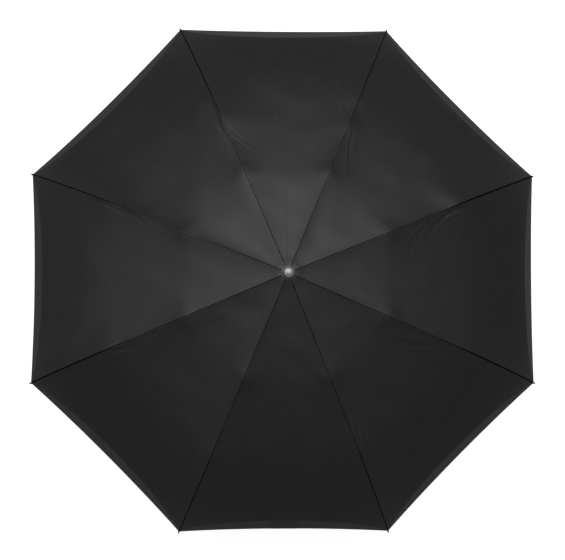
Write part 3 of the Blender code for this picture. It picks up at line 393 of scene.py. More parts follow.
# How a panel hangs: the sag's depth, its lean to the second rib, a fall beyond the first elbow, a rise at the hem.
HANG = {3: (10.0, 1.5, 7.0, 0.0), 2: (7.0, 1.0, 0.0, 8.0), 8: (7.0, 1.0, 0.0, 6.0)}
PLAIN_HANG = (7.0, 1.0, 0.0, 0.0)
EASE_MM = 56.0  # between the seams the cloth rounds off the bend at each elbow over about this length
EASE_STEPS = 300  # samples of the seam's line on each side that count
offsets = np.arange(-EASE_STEPS, EASE_STEPS + 1) * (fine_s[1] - fine_s[0])
kernel = np.exp(-0.5 * (offsets / (EASE_MM * MM)) ** 2)
fine_z = on_seam(fine_s)[:, 1]
beyond_crown = np.full(EASE_STEPS, fine_z[0])
beyond_hem = fine_z[-1] + np.arange(1, EASE_STEPS + 1) * (fine_z[-1] - fine_z[-2])
eased = np.convolve(np.concatenate([beyond_crown, fine_z, beyond_hem]), kernel / kernel.sum(), "valid") - fine_z
waves = np.random.default_rng(8)
drift = [(waves.uniform(0.05, 0.16), waves.uniform(0, 2 * math.pi), waves.uniform(0, 2 * math.pi),
          waves.uniform(0.25, 0.6)) for _ in range(10)]


def smooth_step(low, high, x):
    """0 below low, 1 above high, and a smooth ramp between."""
    t = np.clip((x - low) / (high - low), 0, 1)
    return t * t * (3 - 2 * t)


def seam_relief(rib, side, s, d, share):
    """Height in millimetres of the stitched seam, its tents and its creases, on one side of one rib.

    s runs along the seam and d away from it, in millimetres. share is d as a part of the panel's whole width.
    """
    outer = smooth_step(290, 470, s)
    firm = 0.25 + 0.75 * smooth_step(60, 260, s)
    gape = (0.30 + 0.2 * OPEN_SEAM[rib] * outer) * firm
    height = -gape * np.exp(-(d / (0.9 + 0.4 * outer * OPEN_SEAM[rib])) ** 2)
    height = height + (0.18 if side == 1 else 0.11) * firm * (smooth_step(0.8, 1.6, d) - smooth_step(3.0, 5.4, d))
    fade = 1 - smooth_step(0.1, 1.0, 2 * share)  # nothing is left of a tent at the panel's middle
    for place, length, tall, fall_plus, fall_minus in TENTS.get(rib, ()):
        fall = fall_plus if side == 1 else fall_minus
        height = height + tall * np.exp(-((s - place) / length) ** 2) * np.exp(-d / fall) * fade
    free = 1 - np.exp(-(d / 3.0) ** 2)  # the stitching holds both panels together
    for place, off, angle, length, width, tall in CREASES.get((rib, side), ()):
        a = math.radians(angle)
        along = (s - place) * math.cos(a) - (d - off) * math.sin(a)
        across = (s - place) * math.sin(a) + (d - off) * math.cos(a)
        bent = across - 0.004 * along**2
        height = height + 0.6 * tall * free * np.exp(-(bent / width) ** 2 - (along / length) ** 2)
    return height


def panel_relief(panel, s, share, across, x, y):
    """Height in millimetres of the panel's sag, its middle fold and its slow waves.

    share runs 0 to 1 over the panel, across is millimetres from its middle, and x and y are its place seen from above.
    """
    reach = s / (HEM_S / MM)
    depth, lean, more, rise = HANG.get(panel, PLAIN_HANG)
    swing = 4 * share**lean * (1 - share**lean)
    sag = -depth * swing**0.9 * np.sin(np.clip(reach, 0, 1) ** 1.15 * math.pi * 0.86)
    sag = sag - more * swing * smooth_step(0.35, 0.72, reach) * (1 - smooth_step(0.72, 1.0, reach))
    sag = sag + rise * swing * smooth_step(0.60, 1.05, reach)
    fold = -MIDLINE.get(panel, 0.05) * np.exp(-np.abs(across) / 2.2) * (1 - smooth_step(230, 320, s))
    between = smooth_step(0.02, 0.9, 4 * share * (1 - share))
    ring = 0.06 * np.exp(-((s - ELBOW_S / MM) / 7) ** 2)
    ring = ring + np.interp(s * MM, fine_s, eased) / MM * between * smooth_step(70, 160, s)
    slow = 0
    for length, heading, phase, tall in drift:
        slow = slow + tall * np.sin(2 * math.pi * (x * math.cos(heading) + y * math.sin(heading)) / length + phase)
    slow = slow * 0.25 * 4 * share * (1 - share) * smooth_step(30, 90, s) * (1 - smooth_step(0.9, 1.0, reach))
    return sag + fold + ring + slow


print("tents:", sum(map(len, TENTS.values())), "creases:", sum(map(len, CREASES.values())))

# %% [markdown]
# The hem is a stitched double fold, heavier than the cloth inside it. It turns down more steeply along a pressed
# crease, so a lens-shaped band shows along each edge. Being steep, the band sends back the pale ground, and so it
# looks lighter than the slope above it; its colour is also painted a little lighter, a painted highlight. Each panel
# is one grid, finest at the seams and at that band. The grid is made whole, so that its shading runs on across every
# later cut.

# %% The panels' grids
SEAM_COLUMNS_MM = [0, 0.45, 0.9, 1.4, 2.0, 3.0, 4.4, 5.6]
WIDE_COLUMNS = 27
ROW_MM = 3.4
LIP_MM = 17.0  # width of the band in the middle of an edge
CORNER_LIP_MM = 1.0  # and at its corners
LENS_POWER = 0.62  # below 1, the band keeps its width nearer to the corners
BROW_MM = {2: 5.5, 8: 5.0, 6: 2.0}  # how far the cloth of a panel stands out where the band begins
PLAIN_BROW_MM = 3.0
DROOP_MM = 4.0  # and the hem's middle hangs this far under the line of its corners
FALL_MM = 62.0  # how far inside the hem the extra fall begins
HEM_DIP_MM = 3.5
CLOTH_MM = 0.30
# Painted shadow: the seam's near-black line is painted this half width, and wider by the next amount beyond the second
# elbow.
PAINTED_SEAM_SHADOW_MM = 0.58  # half the width of the shadow line where two panels meet
SEAM_SHADOW_WIDENING_MM = 0.95  # and how much wider it grows beyond the second elbow
STRAP_PANEL = 6
STRAP_HALF_MM = 25.0  # the closing strap's own stiffness holds the hem down over this much of its middle

inner_rows = np.linspace(CROWN_S, ELBOW_S, round((ELBOW_S - CROWN_S) / (ROW_MM * MM)) + 1)
middle_rows = np.linspace(ELBOW_S, KNEE_S, round((KNEE_S - ELBOW_S) / (ROW_MM * MM)) + 1)
knee_out = (HEM_R - on_seam(KNEE_S)[0]) * MIDLINE_SHARE / MM
plain_rows = np.linspace(knee_out, FALL_MM, round((knee_out - FALL_MM) / 2.6) + 1)
fall_share = np.concatenate([np.linspace(0, 0.92, 17)[1:], [0.955, 0.98, 1.0]])
lip_share = np.array([0.06, 0.14, 0.3, 0.55, 0.8, 1.0])
lip_rows = len(lip_share)
print("rows:", len(inner_rows), len(middle_rows), len(plain_rows) + len(fall_share) + lip_rows)


def hem_band(share):
    """(bow, the band's width in mm) at a share of the panel's width. bow is 0 at the corners and 1 in the middle."""
    bow = (4 * share * (1 - share)) ** LENS_POWER
    return bow, CORNER_LIP_MM + (LIP_MM - CORNER_LIP_MM) * bow


def tipped(tilt, out):
    """The upward direction of a slope that falls by an angle towards out."""
    return np.sin(tilt)[..., None] * out + np.cos(tilt)[..., None] * np.array([0, 0, 1.0])


def panel_grid(panel):
    """(points, normals, cut map, hem map) of a whole panel, which lies between rib panel and the next one round."""
    middle = FIRST_RIB + (2 * panel - 1) * HALF_PANEL
    out = np.array([math.cos(middle), math.sin(middle), 0])
    side_on = np.array([-math.sin(middle), math.cos(middle), 0])
    columns = len(SEAM_COLUMNS_MM) + WIDE_COLUMNS
    q = (np.arange(WIDE_COLUMNS) + 1) / WIDE_COLUMNS
    halves = []
    for side, rib in ((1, panel), (-1, panel % RIBS + 1)):
        rows = len(inner_rows) + len(middle_rows) - 1 + len(plain_rows) - 1 + len(fall_share) + lip_rows
        share = np.zeros((rows, columns))
        s = np.zeros((rows, columns))
        for _ in range(3):  # rows near the hem depend on the share, and the share on the rows
            lens = hem_band(share)[1]
            plain_h = np.repeat(plain_rows[1:, None], columns, 1)
            fall_h = FALL_MM + (lens[-1] - FALL_MM) * fall_share[:, None]
            lip_h = lens[-1] * (1 - lip_share[:, None])
            h = np.concatenate([plain_h, fall_h, lip_h])
            radius = HEM_R - h * MM / MIDLINE_SHARE
            s[:] = np.concatenate([np.repeat(inner_rows[:, None], columns, 1),
                                   np.repeat(middle_rows[1:, None], columns, 1), np.interp(radius, fine_r, fine_s)])
            r, z = np.moveaxis(on_seam(s), -1, 0)
            half = r * math.sin(HALF_PANEL) / MM
            close = np.array(SEAM_COLUMNS_MM) * np.minimum(1, half[:, :1] / (2.2 * SEAM_COLUMNS_MM[-1]))
            wide = close[:, -1:] + (half[:, -1:] - close[:, -1:]) * (0.55 * q + 0.45 * q**2)
            d = np.concatenate([close, wide], 1)
            share = d / (2 * half)
        across = side * -(half - d)
        slope = np.gradient(on_seam(fine_s)[:, 1], fine_r * MIDLINE_SHARE)
        tilt = -np.arctan(np.interp(s, fine_s, slope))
        up = tipped(tilt, out)
        rib_turn = FIRST_RIB + (rib - 1) * 2 * HALF_PANEL
        rib_out = np.array([math.cos(rib_turn), math.sin(rib_turn), 0])
        rib_tilt = -np.arctan(np.interp(s, fine_s, slope) * MIDLINE_SHARE)
        rib_up = tipped(rib_tilt, rib_out)
        by_seam = np.exp(-(d / 14) ** 2)[..., None]  # both panels of a seam must rise the same way there
        up = by_seam * rib_up + (1 - by_seam) * up
        h_all = (HEM_R - r) * MIDLINE_SHARE / MM
        bow, lens = hem_band(share)
        at_lens = np.interp(HEM_R - lens * MM / MIDLINE_SHARE, fine_r, on_seam(fine_s)[:, 1])
        brow = BROW_MM.get(panel, PLAIN_BROW_MM) * MM * bow
        crease_z = at_lens + brow
        hem_z = on_seam(HEM_S)[1] - DROOP_MM * MM * bow
        ramp = (1 - np.clip((h_all - lens) / (FALL_MM - lens), 0, 1)) ** 1.5
        level = np.where(h_all < lens, hem_z + (crease_z - hem_z) * h_all / lens - z, brow * ramp)
        if panel == STRAP_PANEL:
            level = level * (0.25 + 0.75 * smooth_step(STRAP_HALF_MM, STRAP_HALF_MM + 4, np.abs(across)))
        dip = HEM_DIP_MM * MM * 4 * share * (1 - share) * (r / HEM_R) ** 6
        points = (r * MIDLINE_SHARE - dip)[..., None] * out + (across * MM)[..., None] * side_on
        relief = (panel_relief(panel, s / MM, share if side == 1 else 1 - share, across, points[..., 0], points[..., 1])
                  + seam_relief(rib, side, s / MM, d, share))
        relief = relief * (1 - 0.6 * smooth_step(0, 1, 1 - h_all / 60))
        points = points + relief[..., None] * MM * up
        points[..., 2] += z + level
        # The half width of the painted seam shadow line.
        line = PAINTED_SEAM_SHADOW_MM + SEAM_SHADOW_WIDENING_MM * OPEN_SEAM[rib] * smooth_step(300, 400, s / MM)
        halves.append((points, np.stack([side * d * MM, s], -1), np.stack([line * MM, (h_all - lens) * MM], -1)))
    first, second = halves
    points, cut, hem = (np.concatenate([a, b[:, -2::-1]], 1) for a, b in zip(first, second))
    down, over = np.gradient(points, axis=0), np.gradient(points, axis=1)
    normal = np.cross(down, over)
    normal /= np.linalg.norm(normal, axis=-1, keepdims=True)
    return points, normal, cut, hem, columns


grids = {panel: panel_grid(panel) for panel in range(1, RIBS + 1)}
print("grid of a panel:", grids[1][0].shape[:2])

# %% [markdown]
# When the umbrella folds, each length of the cover follows the rib that it is tied to, and the width between two
# ribs gathers into pleats. So the cover is cut along the middle of each panel and at the elbows, and each piece
# is hung on its own rib. Every piece has real thickness, with the doubled seam allowance on its underside.

# %% Cut the cover into its folding lengths
ALLOWANCE_MM = 0.35
# A piece with this hem map gets no painted seam shadow and no painted hem highlight.
NO_SEAM = (0.1 * MM, 1.0)  # the hem map of a cloth piece that has no seam line and no pressed fold


def half_grid(panel, side):
    """The part of a panel's grid beside one of its two ribs, with the seam in column 0."""
    *maps, columns = grids[panel]
    part = slice(0, columns) if side == 1 else slice(None, columns - 2, -1)
    return [a[:, part] for a in maps]


def grid_faces(rows, columns):
    """(index, quads, rim) of a grid: its points' numbers, their squares, and the loop of points round its edge."""
    index = np.arange(rows * columns).reshape(rows, columns)
    quads = np.stack([index[:-1, :-1], index[1:, :-1], index[1:, 1:], index[:-1, 1:]], -1).reshape(-1, 4)
    rim = np.concatenate([index[0, :-1], index[:-1, -1], index[-1, :0:-1], index[:0:-1, 0]])
    return index, quads, rim


def lay_maps(made, cut, hem):
    """Writes the two maps that the cloth finish reads, the same on the upper and the lower face."""
    corners = np.zeros(len(made.data.loops), int)
    made.data.loops.foreach_get("vertex_index", corners)
    for layer, values in (("cut", cut), ("hem", hem)):
        both_sides = np.concatenate([values.reshape(-1, 2)] * 2)[corners]
        made.data.uv_layers.new(name=layer).uv.foreach_set("vector", both_sides.astype(np.float32).ravel())


def plain_maps(made, upper):
    """The maps of a piece that has no painted seam shadow line and no painted hem highlight: its weave is laid straight
    on, seen from above.
    """
    flat = upper.reshape(-1, 3)[:, :2] + 1.0
    lay_maps(made, flat, np.tile(NO_SEAM, (len(flat), 1)))


def cloth_piece(name, points, normal, cut, hem, flip, allowance):
    """A closed piece of cloth from a grid of points on its upper face."""
    rows, columns = points.shape[:2]
    thick = np.full((rows, columns), CLOTH_MM)
    if allowance:
        width = np.abs(cut[..., 0]) / MM
        thick = thick + ALLOWANCE_MM * (1 - smooth_step(4.6, 5.4, width))
    under = points - normal * thick[..., None] * MM
    index, top, rim = grid_faces(rows, columns)
    count = index.size
    after = np.roll(rim, -1)
    wall = np.stack([rim, after, after + count, rim + count], 1)
    faces = np.concatenate([top, top[:, ::-1] + count, wall])
    if flip:
        faces = faces[:, ::-1]
    made = piece(name, np.concatenate([points.reshape(-1, 3), under.reshape(-1, 3)]), faces, cloth)
    flat = normal.reshape(-1, 3)
    made.data.normals_split_custom_set_from_vertices(np.concatenate([flat, -flat]))
    lay_maps(made, cut, hem)
    return made


outer_start = len(inner_rows) + len(middle_rows) - 2
spans = {
    "top": (0, len(inner_rows) - 1, 0.10, 0.22),
    "middle": (len(inner_rows) - 1, outer_start, 0.08, -0.13),
    "outer": (outer_start, grids[1][0].shape[0] - 1, 0.075, 0.10),
}
for rib in range(1, RIBS + 1):
    for side in (1, -1):
        panel = rib if side == 1 else (rib - 2) % RIBS + 1
        points, normal, cut, hem = half_grid(panel, side)
        for length, (first, last, width_left, stands) in spans.items():
            rows = slice(first, last + 1)
            grid = [a[rows] for a in (points, normal, cut, hem)]
            hand = "left" if side == 1 else "right"
            name = f"cover_{length}_{rib}_{hand}"
            made = cloth_piece(name, *grid, flip=side == -1, allowance=side == 1)
            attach(made, f"{length}_rib_{rib}")
            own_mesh(made)
            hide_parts("canopy")

# %% [markdown]
# At the very top the eight points of the panels are clamped flat between the crown and a washer.
# That small round of cloth doesn't fold, so it is a piece of its own on the shaft.

# %% The clamped round at the top
HOLE_R = 3 * MM
round_radii = np.linspace(HOLE_R, CLAMP_R, 7)
round_turns = np.linspace(0, 2 * math.pi, 8 * RIBS, endpoint=False)
ring_points = []
for r in round_radii:
    s = float(np.interp(r, fine_r, fine_s)) if r > fine_r[0] else 0.0
    z = on_seam(s)[1]
    fold = np.abs((round_turns - FIRST_RIB + HALF_PANEL) % (2 * HALF_PANEL) - HALF_PANEL)
    flat_r = r * MIDLINE_SHARE / np.cos(HALF_PANEL - fold)
    ring_points.append(np.stack([flat_r * np.cos(round_turns), flat_r * np.sin(round_turns), np.full(len(fold), z)], 1))
ring_points = np.array(ring_points)
under_round = ring_points - np.array([0, 0, CLOTH_MM * MM])
index = np.arange(len(round_radii) * len(round_turns)).reshape(len(round_radii), -1)
after = np.roll(index, -1, 1)
total = index.size
top = np.stack([index[:-1], index[1:], after[1:], after[:-1]], -1).reshape(-1, 4)
rims = [np.stack([i[e], j[e], j[e] + total, i[e] + total], 1) for i, j, e in ((after, index, -1), (index, after, 0))]
crown_cloth = piece("cover_crown_round", np.concatenate([ring_points.reshape(-1, 3), under_round.reshape(-1, 3)]),
                    np.concatenate([top, top[:, ::-1] + total, *rims]), cloth)
plain_maps(crown_cloth, ring_points)
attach(crown_cloth, "top_shaft")
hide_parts("canopy")
print("clamped round:", len(top), "faces")

# %% [markdown]
# The closing strap is a doubled band of the same cloth, sewn behind the hem of one panel, with a press stud at
# each end. It is laid on the cloth's own underside, so that it follows the curve wherever the hem goes.

# %% Closing strap and press studs
strap_low, strap_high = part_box("closing_strap")
STRAP_LONG = strap_high.x - strap_low.x
STRAP_DEEP_MM = 18.72  # how far it reaches in from the hem, seen from above
STRAP_START_MM = 1.5  # and how far inside the hem it starts
STRAP_MM = 0.9
STRAP_OFF_MM = 0.3  # between the strap and the cover
STRAP_SAG_MM = 0.35
STRAP_COLUMNS, STRAP_ROWS = 21, 10
behind, behind_up = (a.reshape(-1, 3) for a in grids[STRAP_PANEL][:2])
near = (np.abs(behind[:, 0]) < 45 * MM) & (behind[:, 1] < -380 * MM)  # the part of the panel round the strap


def under_cloth(x, depth, below):
    """A point at x along the hem and depth up the cloth from it, below the cloth's underside."""
    edge = grids[STRAP_PANEL][0][-1]
    y_edge = np.interp(x, *(edge[np.argsort(edge[:, 0])][:, :2].T))
    place = np.array([x, y_edge + depth])
    away = np.hypot(*(behind[near][:, :2] - place).T)
    nearest = np.argsort(away)[:4]
    weight = 1 / (away[nearest] + 1e-5)
    weight /= weight.sum()
    point = (behind[near][nearest] * weight[:, None]).sum(0)
    upward = (behind_up[near][nearest] * weight[:, None]).sum(0)
    return np.array([place[0], place[1], point[2] - (point[1] - place[1]) * -upward[1] / upward[2]]) - upward * below


strap_x = np.linspace(-STRAP_LONG / 2, STRAP_LONG / 2, STRAP_COLUMNS)
strap_y = np.linspace(STRAP_START_MM * MM, (STRAP_START_MM + STRAP_DEEP_MM) * MM, STRAP_ROWS)
layers = np.array([[[under_cloth(x, y, CLOTH_MM * MM + (STRAP_OFF_MM + extra) * MM) for x in strap_x] for y in strap_y]
                   for extra in (0, STRAP_MM)])
hang = np.sin(np.linspace(0, math.pi, STRAP_COLUMNS))
layers += hang[None, None, :, None] * np.array([0, 0, -STRAP_SAG_MM * MM])
index, quads, rim_line = grid_faces(STRAP_ROWS, STRAP_COLUMNS)
size = index.size
face_up = quads[:, [0, 3, 2, 1]]
next_on = np.roll(rim_line, -1)
strap = piece("closing_strap_band", layers.reshape(-1, 3),
              np.concatenate([face_up, face_up[:, ::-1] + size,
                              np.stack([rim_line, rim_line + size, next_on + size, next_on], 1)]), cloth)
plain_maps(strap, layers[0])
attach(strap, "outer_rib_7")
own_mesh(strap)
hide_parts("closing_strap")

# %% [markdown]
# ## Turned and repeated pieces
# Anything round about the shaft is one profile spun on a lathe: a list of distances and heights is enough.

# %% A lathe
def lathe(name, profile, finish_used, sides=96, sharp=38):
    """Spins a profile of (distance, height) round the shaft. It is closed if it starts and ends on the axis."""
    profile = np.asarray(profile, float)
    turns = np.linspace(0, 2 * math.pi, sides, endpoint=False)
    points, index = [], []
    for r, z in profile:
        if r < 1e-7:
            index.append([len(points)] * sides)
            points.append((0, 0, z))
        else:
            index.append(list(range(len(points), len(points) + sides)))
            points.extend((r * math.cos(a), r * math.sin(a), z) for a in turns)
    faces = []
    for low, high in zip(index, index[1:]):
        for k in range(sides):
            m = (k + 1) % sides
            faces.append(list(dict.fromkeys((low[k], low[m], high[m], high[k]))))
    made = piece(name, points, [f for f in faces if len(f) > 2], finish_used)
    made.data.set_sharp_from_angle(angle=math.radians(sharp))
    return made


def stand(made, place, lean):
    """Tips a lathed piece's axis over to a direction and moves its foot to a place."""
    tip_over = Vector((0, 0, 1)).rotation_difference(Vector(lean)).to_matrix().to_4x4()
    made.data.transform(Matrix.Translation(Vector(place)) @ tip_over)


def rounded(corners, radius, steps=4):
    """A profile with each inner corner rounded off."""
    corners = [Vector(c) for c in corners]
    made = [tuple(corners[0])]
    for before, at, after in zip(corners, corners[1:], corners[2:]):
        r = min(radius, (before - at).length * 0.45, (after - at).length * 0.45)
        a = at + (before - at).normalized() * r
        b = at + (after - at).normalized() * r
        for i in range(steps + 1):
            t = i / steps
            made.append(tuple(a * (1 - t) ** 2 + at * 2 * t * (1 - t) + b * t**2))
    return made + [tuple(corners[-1])]


print("lathe ready")

# %% [markdown]
# The finial is a small nickel-plated casting: a beaded ring round a low domed cap with a raised rim.
# The beads are real half-round bumps, because a bump in the material can't give their bright points.

# %% Finial
ring_low, ring_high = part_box("finial_ring")
dome_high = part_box("finial_dome")[1]
washer_low, washer_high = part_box("cap_washer")
RING_R = ring_high.x
DOME_R = dome_high.x
washer_r = washer_high.x + 1.6 * MM
washer = lathe("finial_washer", rounded([(0, washer_low.z), (washer_r, washer_low.z), (washer_r, washer_high.z),
                                         (0, washer_high.z)], 0.4 * MM), nylon)
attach(washer, "top_shaft")
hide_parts("cap_washer")

BEADS = 28
BEAD_R = math.pi * (RING_R - 0.9 * MM) / BEADS * 0.93
bead_turns = [2 * math.pi * (k + 0.5) / BEADS for k in range(BEADS)]
ring_top = ring_high.z
band = lathe("beaded_ring_band", rounded([
    (0, ring_low.z), (RING_R - 0.6 * MM, ring_low.z), (RING_R - 0.3 * MM, ring_low.z + 0.8 * MM),
    (RING_R - 0.9 * MM, ring_top - 1.3 * MM), (0, ring_top - 1.2 * MM)], 0.3 * MM), nickel)
bead_points, bead_faces = [], []
LAYERS, AROUND_BEAD = 7, 12
for a in bead_turns:
    centre = Vector(((RING_R - BEAD_R) * math.cos(a), (RING_R - BEAD_R) * math.sin(a), ring_top - BEAD_R * 0.75))
    start = len(bead_points)
    for i in range(LAYERS + 1):
        tall = math.pi * i / LAYERS
        for k in range(AROUND_BEAD):
            b = 2 * math.pi * k / AROUND_BEAD
            outward = Vector((math.sin(tall) * math.cos(b), math.sin(tall) * math.sin(b), math.cos(tall)))
            bead_points.append(centre + outward * BEAD_R)
    for i in range(LAYERS):
        for k in range(AROUND_BEAD):
            m = (k + 1) % AROUND_BEAD
            low, high = start + i * AROUND_BEAD, start + (i + 1) * AROUND_BEAD
            bead_faces.append((low + k, high + k, high + m, low + m))
beads = piece("finial_beads", bead_points, bead_faces, nickel)
for made in (band, beads):
    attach(made, "top_shaft")
    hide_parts("finial_ring")

cap_low = ring_top - 1.2 * MM
cap_top = dome_high.z
rim = DOME_R + 0.6 * MM
DISH_MM = 1.0  # how far the low dome rises over its own width
dome_r = rim - 1.6 * MM
dome_curve = [(dome_r * (1 - t), cap_top - DISH_MM * MM * (1 - t) ** 2) for t in np.linspace(0, 1, 12)]
cap_side = [(0, cap_low), (rim - 0.4 * MM, cap_low), (rim, cap_low + 0.5 * MM), (rim, cap_top - 1.9 * MM)]
cap_lip = [(rim - inward * MM, cap_top - lower * MM) for inward, lower in
           ((0.15, 1.3), (0.5, 0.9), (0.9, 0.8), (1.25, 0.95), (1.5, 1.15))]
cap = lathe("finial_cap", cap_side + cap_lip + dome_curve, nickel)
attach(cap, "top_shaft")
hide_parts("finial_dome")
print("finial:", round((dome_high.z - washer_low.z) / MM, 1), "mm tall,", BEADS, "beads")

# %% [markdown]
# The press studs are two small plated discs, one at each end of the strap. Each is turned on the same lathe,
# then laid against the strap's lower face.

# %% Press studs
STUD_R = 4.8 * MM
stud_profile = rounded([(0, 0), (STUD_R, 0), (STUD_R, 0.5 * MM), (3.4 * MM, 1.1 * MM), (0, 1.1 * MM)], 0.25 * MM)
socket_profile = rounded([(0, 0), (STUD_R, 0), (STUD_R, 0.8 * MM), (3.2 * MM, 0.9 * MM), (2.6 * MM, 0.4 * MM),
                          (0, 0.4 * MM)], 0.2 * MM)
for name, stands_for, column, profile in (("press_stud_cap", "snap_cap", 16, stud_profile),
                                          ("press_stud_socket", "snap_socket", 4, socket_profile)):
    at = layers[1][4, column]
    up_strap = layers[1][5, column] - layers[1][3, column]
    along_strap = layers[1][4, column + 1] - layers[1][4, column - 1]
    down = np.cross(up_strap, along_strap)
    down *= -np.sign(down[2]) / np.linalg.norm(down)
    made = lathe(name, profile, nickel, sides=40)
    stand(made, at + down * 0.05 * MM, down)
    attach(made, "outer_rib_7")
    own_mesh(made)
    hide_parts(stands_for)
print("press studs: 2")

# %% [markdown]
# The grip is a hard core under soft-touch rubber paint, moulded with rows of shallow grooves where the
# fingers close. The frame gives its length and its widest radius, and the swell between is a smooth curve.
# The collar above it is a plated ring with one turned groove.

# %% Grip and collar
grip_low, grip_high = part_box("handle_grip")
SWELL = [(0.0, 0.93), (0.12, 0.985), (0.35, 1.0), (0.60, 0.94), (0.80, 0.83), (0.93, 0.77), (1.0, 0.757)]
GROOVES = 11
GROOVE_MM = 0.55
heights = np.linspace(0, 1, 221)
shares, widths = np.array(SWELL).T
swell = np.interp(heights, shares, widths)
window = np.hanning(25) / np.hanning(25).sum()
swell = np.convolve(np.pad(swell, 12, mode="edge"), window, "valid")
wave = np.clip((heights - 0.22) / 0.46, 0, 1)
groove = GROOVE_MM * MM * np.where((wave > 0) & (wave < 1), 0.5 - 0.5 * np.cos(wave * 2 * math.pi * GROOVES), 0) ** 2
radius = swell * grip_high.x - groove
tall = grip_high.z - grip_low.z
side_line = [(float(r), float(grip_low.z + h * tall)) for r, h in zip(radius, heights)]
collar_low, collar_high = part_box("handle_collar")
tube_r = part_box("lower_tube")[1].x
edge = 0.5 * MM
grip = lathe("soft_grip", [(0, grip_low.z), (radius[0] - edge, grip_low.z)]
             + [(radius[0] - edge * (1 - math.sin(a)), grip_low.z + edge * (1 - math.cos(a))) for a in (0.5, 1.1)]
             + side_line[2:-1] + [(radius[-1] - edge, grip_high.z), (tube_r + 0.2 * MM, grip_high.z)], rubber, 128)
collar = lathe("grip_collar", rounded([
    (tube_r + 0.2 * MM, collar_low.z), (collar_high.x, collar_low.z), (collar_high.x, collar_low.z + 2.2 * MM),
    (collar_high.x - 0.5 * MM, collar_low.z + 2.6 * MM), (collar_high.x, collar_low.z + 3.0 * MM),
    (collar_high.x, collar_high.z - 2.2 * MM), (collar_high.x - 2.8 * MM, collar_high.z),
    (tube_r + 0.2 * MM, collar_high.z)], 0.5 * MM), nickel)
for made, stands_for, used in ((grip, "handle_grip", "rubber"), (collar, "handle_collar", "nickel")):
    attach(made, "handle")
    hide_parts(stands_for)
print("grip:", round(tall / MM, 1), "mm tall,", GROOVES, "grooves")

# %% [markdown]
# From below, the cloth is seen to be tied to each rib with a few turns of thread: one tie on each length.
# A tie is a short coil of thread, thin enough to hide under the seam. At its outer end each rib finishes in
# a small enamelled bead, which keeps the wire from wearing through the corner of the cover.

# %% Ties and tips
# Each tie: its place along the seam, the half width of its coil, and half the coil's height, in millimetres.
TIES = {"top": (155, 2.35, 1.75), "middle": (285, 2.15, 1.75), "outer": (450, 1.55, 1.45)}
TIE_TURNS = 3
TIE_STEPS = 14  # points in one turn
TIE_PITCH_MM = 0.75
TIE_DOWN_MM = 2.35  # the coil's middle lies this far under the seam
THREAD_R = 0.3 * MM


def tube_along(course, radius, sides=8):
    """Points and faces of a round tube along a course of points."""
    course = np.asarray(course, float)
    ahead = np.gradient(course, axis=0)
    ahead /= np.linalg.norm(ahead, axis=1, keepdims=True)
    made_points, made_faces = [], []
    side_way = np.array([0, 0, 1.0])
    for i, (p, heading) in enumerate(zip(course, ahead)):
        if i == 0 and abs(heading @ side_way) > 0.9:
            side_way = np.array([1.0, 0, 0])
        side_way = side_way - heading * (side_way @ heading)
        side_way /= np.linalg.norm(side_way)
        third = np.cross(heading, side_way)
        for k in range(sides):
            angle = 2 * math.pi * k / sides
            made_points.append(p + radius * (math.cos(angle) * side_way + math.sin(angle) * third))
    rings = len(course)
    for i in range(rings - 1):
        for k in range(sides):
            m = (k + 1) % sides
            made_faces.append((i * sides + k, i * sides + m, (i + 1) * sides + m, (i + 1) * sides + k))
    made_faces.append(tuple(range(sides))[::-1])
    made_faces.append(tuple((rings - 1) * sides + k for k in range(sides)))
    return made_points, made_faces


def in_rib_plane(rib, r, z, off=0.0):
    """The point at a distance and height in the upright plane of a rib, off to its left."""
    angle = FIRST_RIB + (rib - 1) * 2 * HALF_PANEL
    return np.array([r * math.cos(angle) - off * math.sin(angle), r * math.sin(angle) + off * math.cos(angle), z])


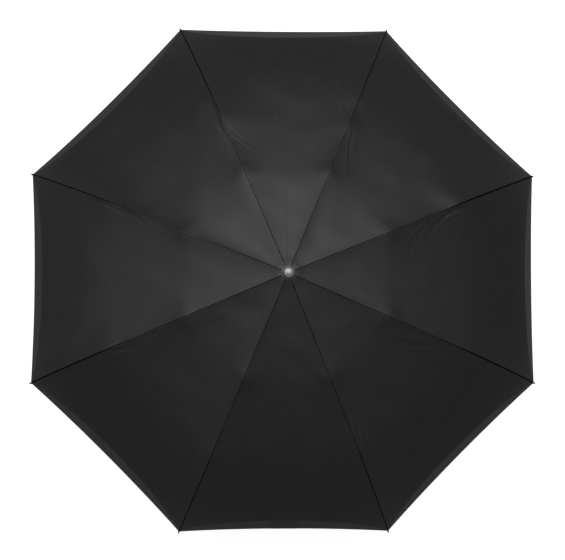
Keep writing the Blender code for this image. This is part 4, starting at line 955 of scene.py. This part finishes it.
for rib in range(1, RIBS + 1):
    for length, (place, half_width, half_height) in TIES.items():
        (r0, z0), (r1, z1) = on_seam((place - 0.5) * MM), on_seam((place + 0.5) * MM)
        slope = math.atan2(z0 - z1, r1 - r0)
        course = []
        for i in range(TIE_TURNS * TIE_STEPS + 1):
            angle = 2 * math.pi * i / TIE_STEPS
            along = (i / TIE_STEPS - TIE_TURNS / 2) * TIE_PITCH_MM * MM
            down = (TIE_DOWN_MM + half_height * math.cos(angle)) * MM
            r = r0 + along * math.cos(slope) - down * math.sin(slope)
            z = z0 - along * math.sin(slope) - down * math.cos(slope)
            course.append(in_rib_plane(rib, r, z, half_width * MM * math.sin(angle)))
        tie = piece(f"tie_{length}_{rib}", *tube_along(course, THREAD_R), thread)
        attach(tie, f"{length}_rib_{rib}")
    wire = np.array([v.co[:] for v in nodes[f"outer_rib_{rib}"].data.vertices])
    far = np.hypot(wire[:, 0], wire[:, 1])
    end = wire[far > far.max() - 1.5 * MM].mean(0)
    (r0, z0), (r1, z1) = on_seam(HEM_S - 5 * MM), on_seam(HEM_S)
    lean = Vector(in_rib_plane(rib, r1 - r0, z1 - z0)).normalized()
    bead = rounded([(0, -3.6 * MM), (0.9 * MM, -3.6 * MM), (1.15 * MM, -2.2 * MM), (1.7 * MM, -0.6 * MM),
                    (1.75 * MM, 0.4 * MM), (1.0 * MM, 1.8 * MM), (0.8 * MM, 4.2 * MM), (0, 4.6 * MM)], 0.6 * MM)
    tip = lathe(f"rib_tip_{rib}", bead, painted_steel, sides=28, sharp=80)
    stand(tip, end, lean)
    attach(tip, f"outer_rib_{rib}")
print("ties:", RIBS * len(TIES), "tips:", RIBS)

# %% [markdown]
# ## Materials on the frame's own pieces
# The ribs, tubes, crown, runner and button have the right shape already, so they stay and get their finish.

# %% Finishes for the frame's pieces
finish_of = [  # the first start of a name that fits is the one used
    (painted_steel, "top_rib middle_rib stretcher"), (spring_steel, "runner_catch button_spring"),
    (zinc_steel, "control_link outer_rib lower_tube middle_tube top_tube crown_ring_wire runner_ring_wire"),
    (nylon, "crown runner handle_end_cap"), (rubber, "handle_grip"), (nickel, "handle_collar snap"),
    (cloth, "closing_strap"),
]
dressed = 0
for name, node in nodes.items():
    for used, starts in finish_of:
        if name.startswith(tuple(starts.split())):
            node.data.materials.clear()
            node.data.materials.append(used)
            dressed += 1
            break
print("dressed:", dressed)
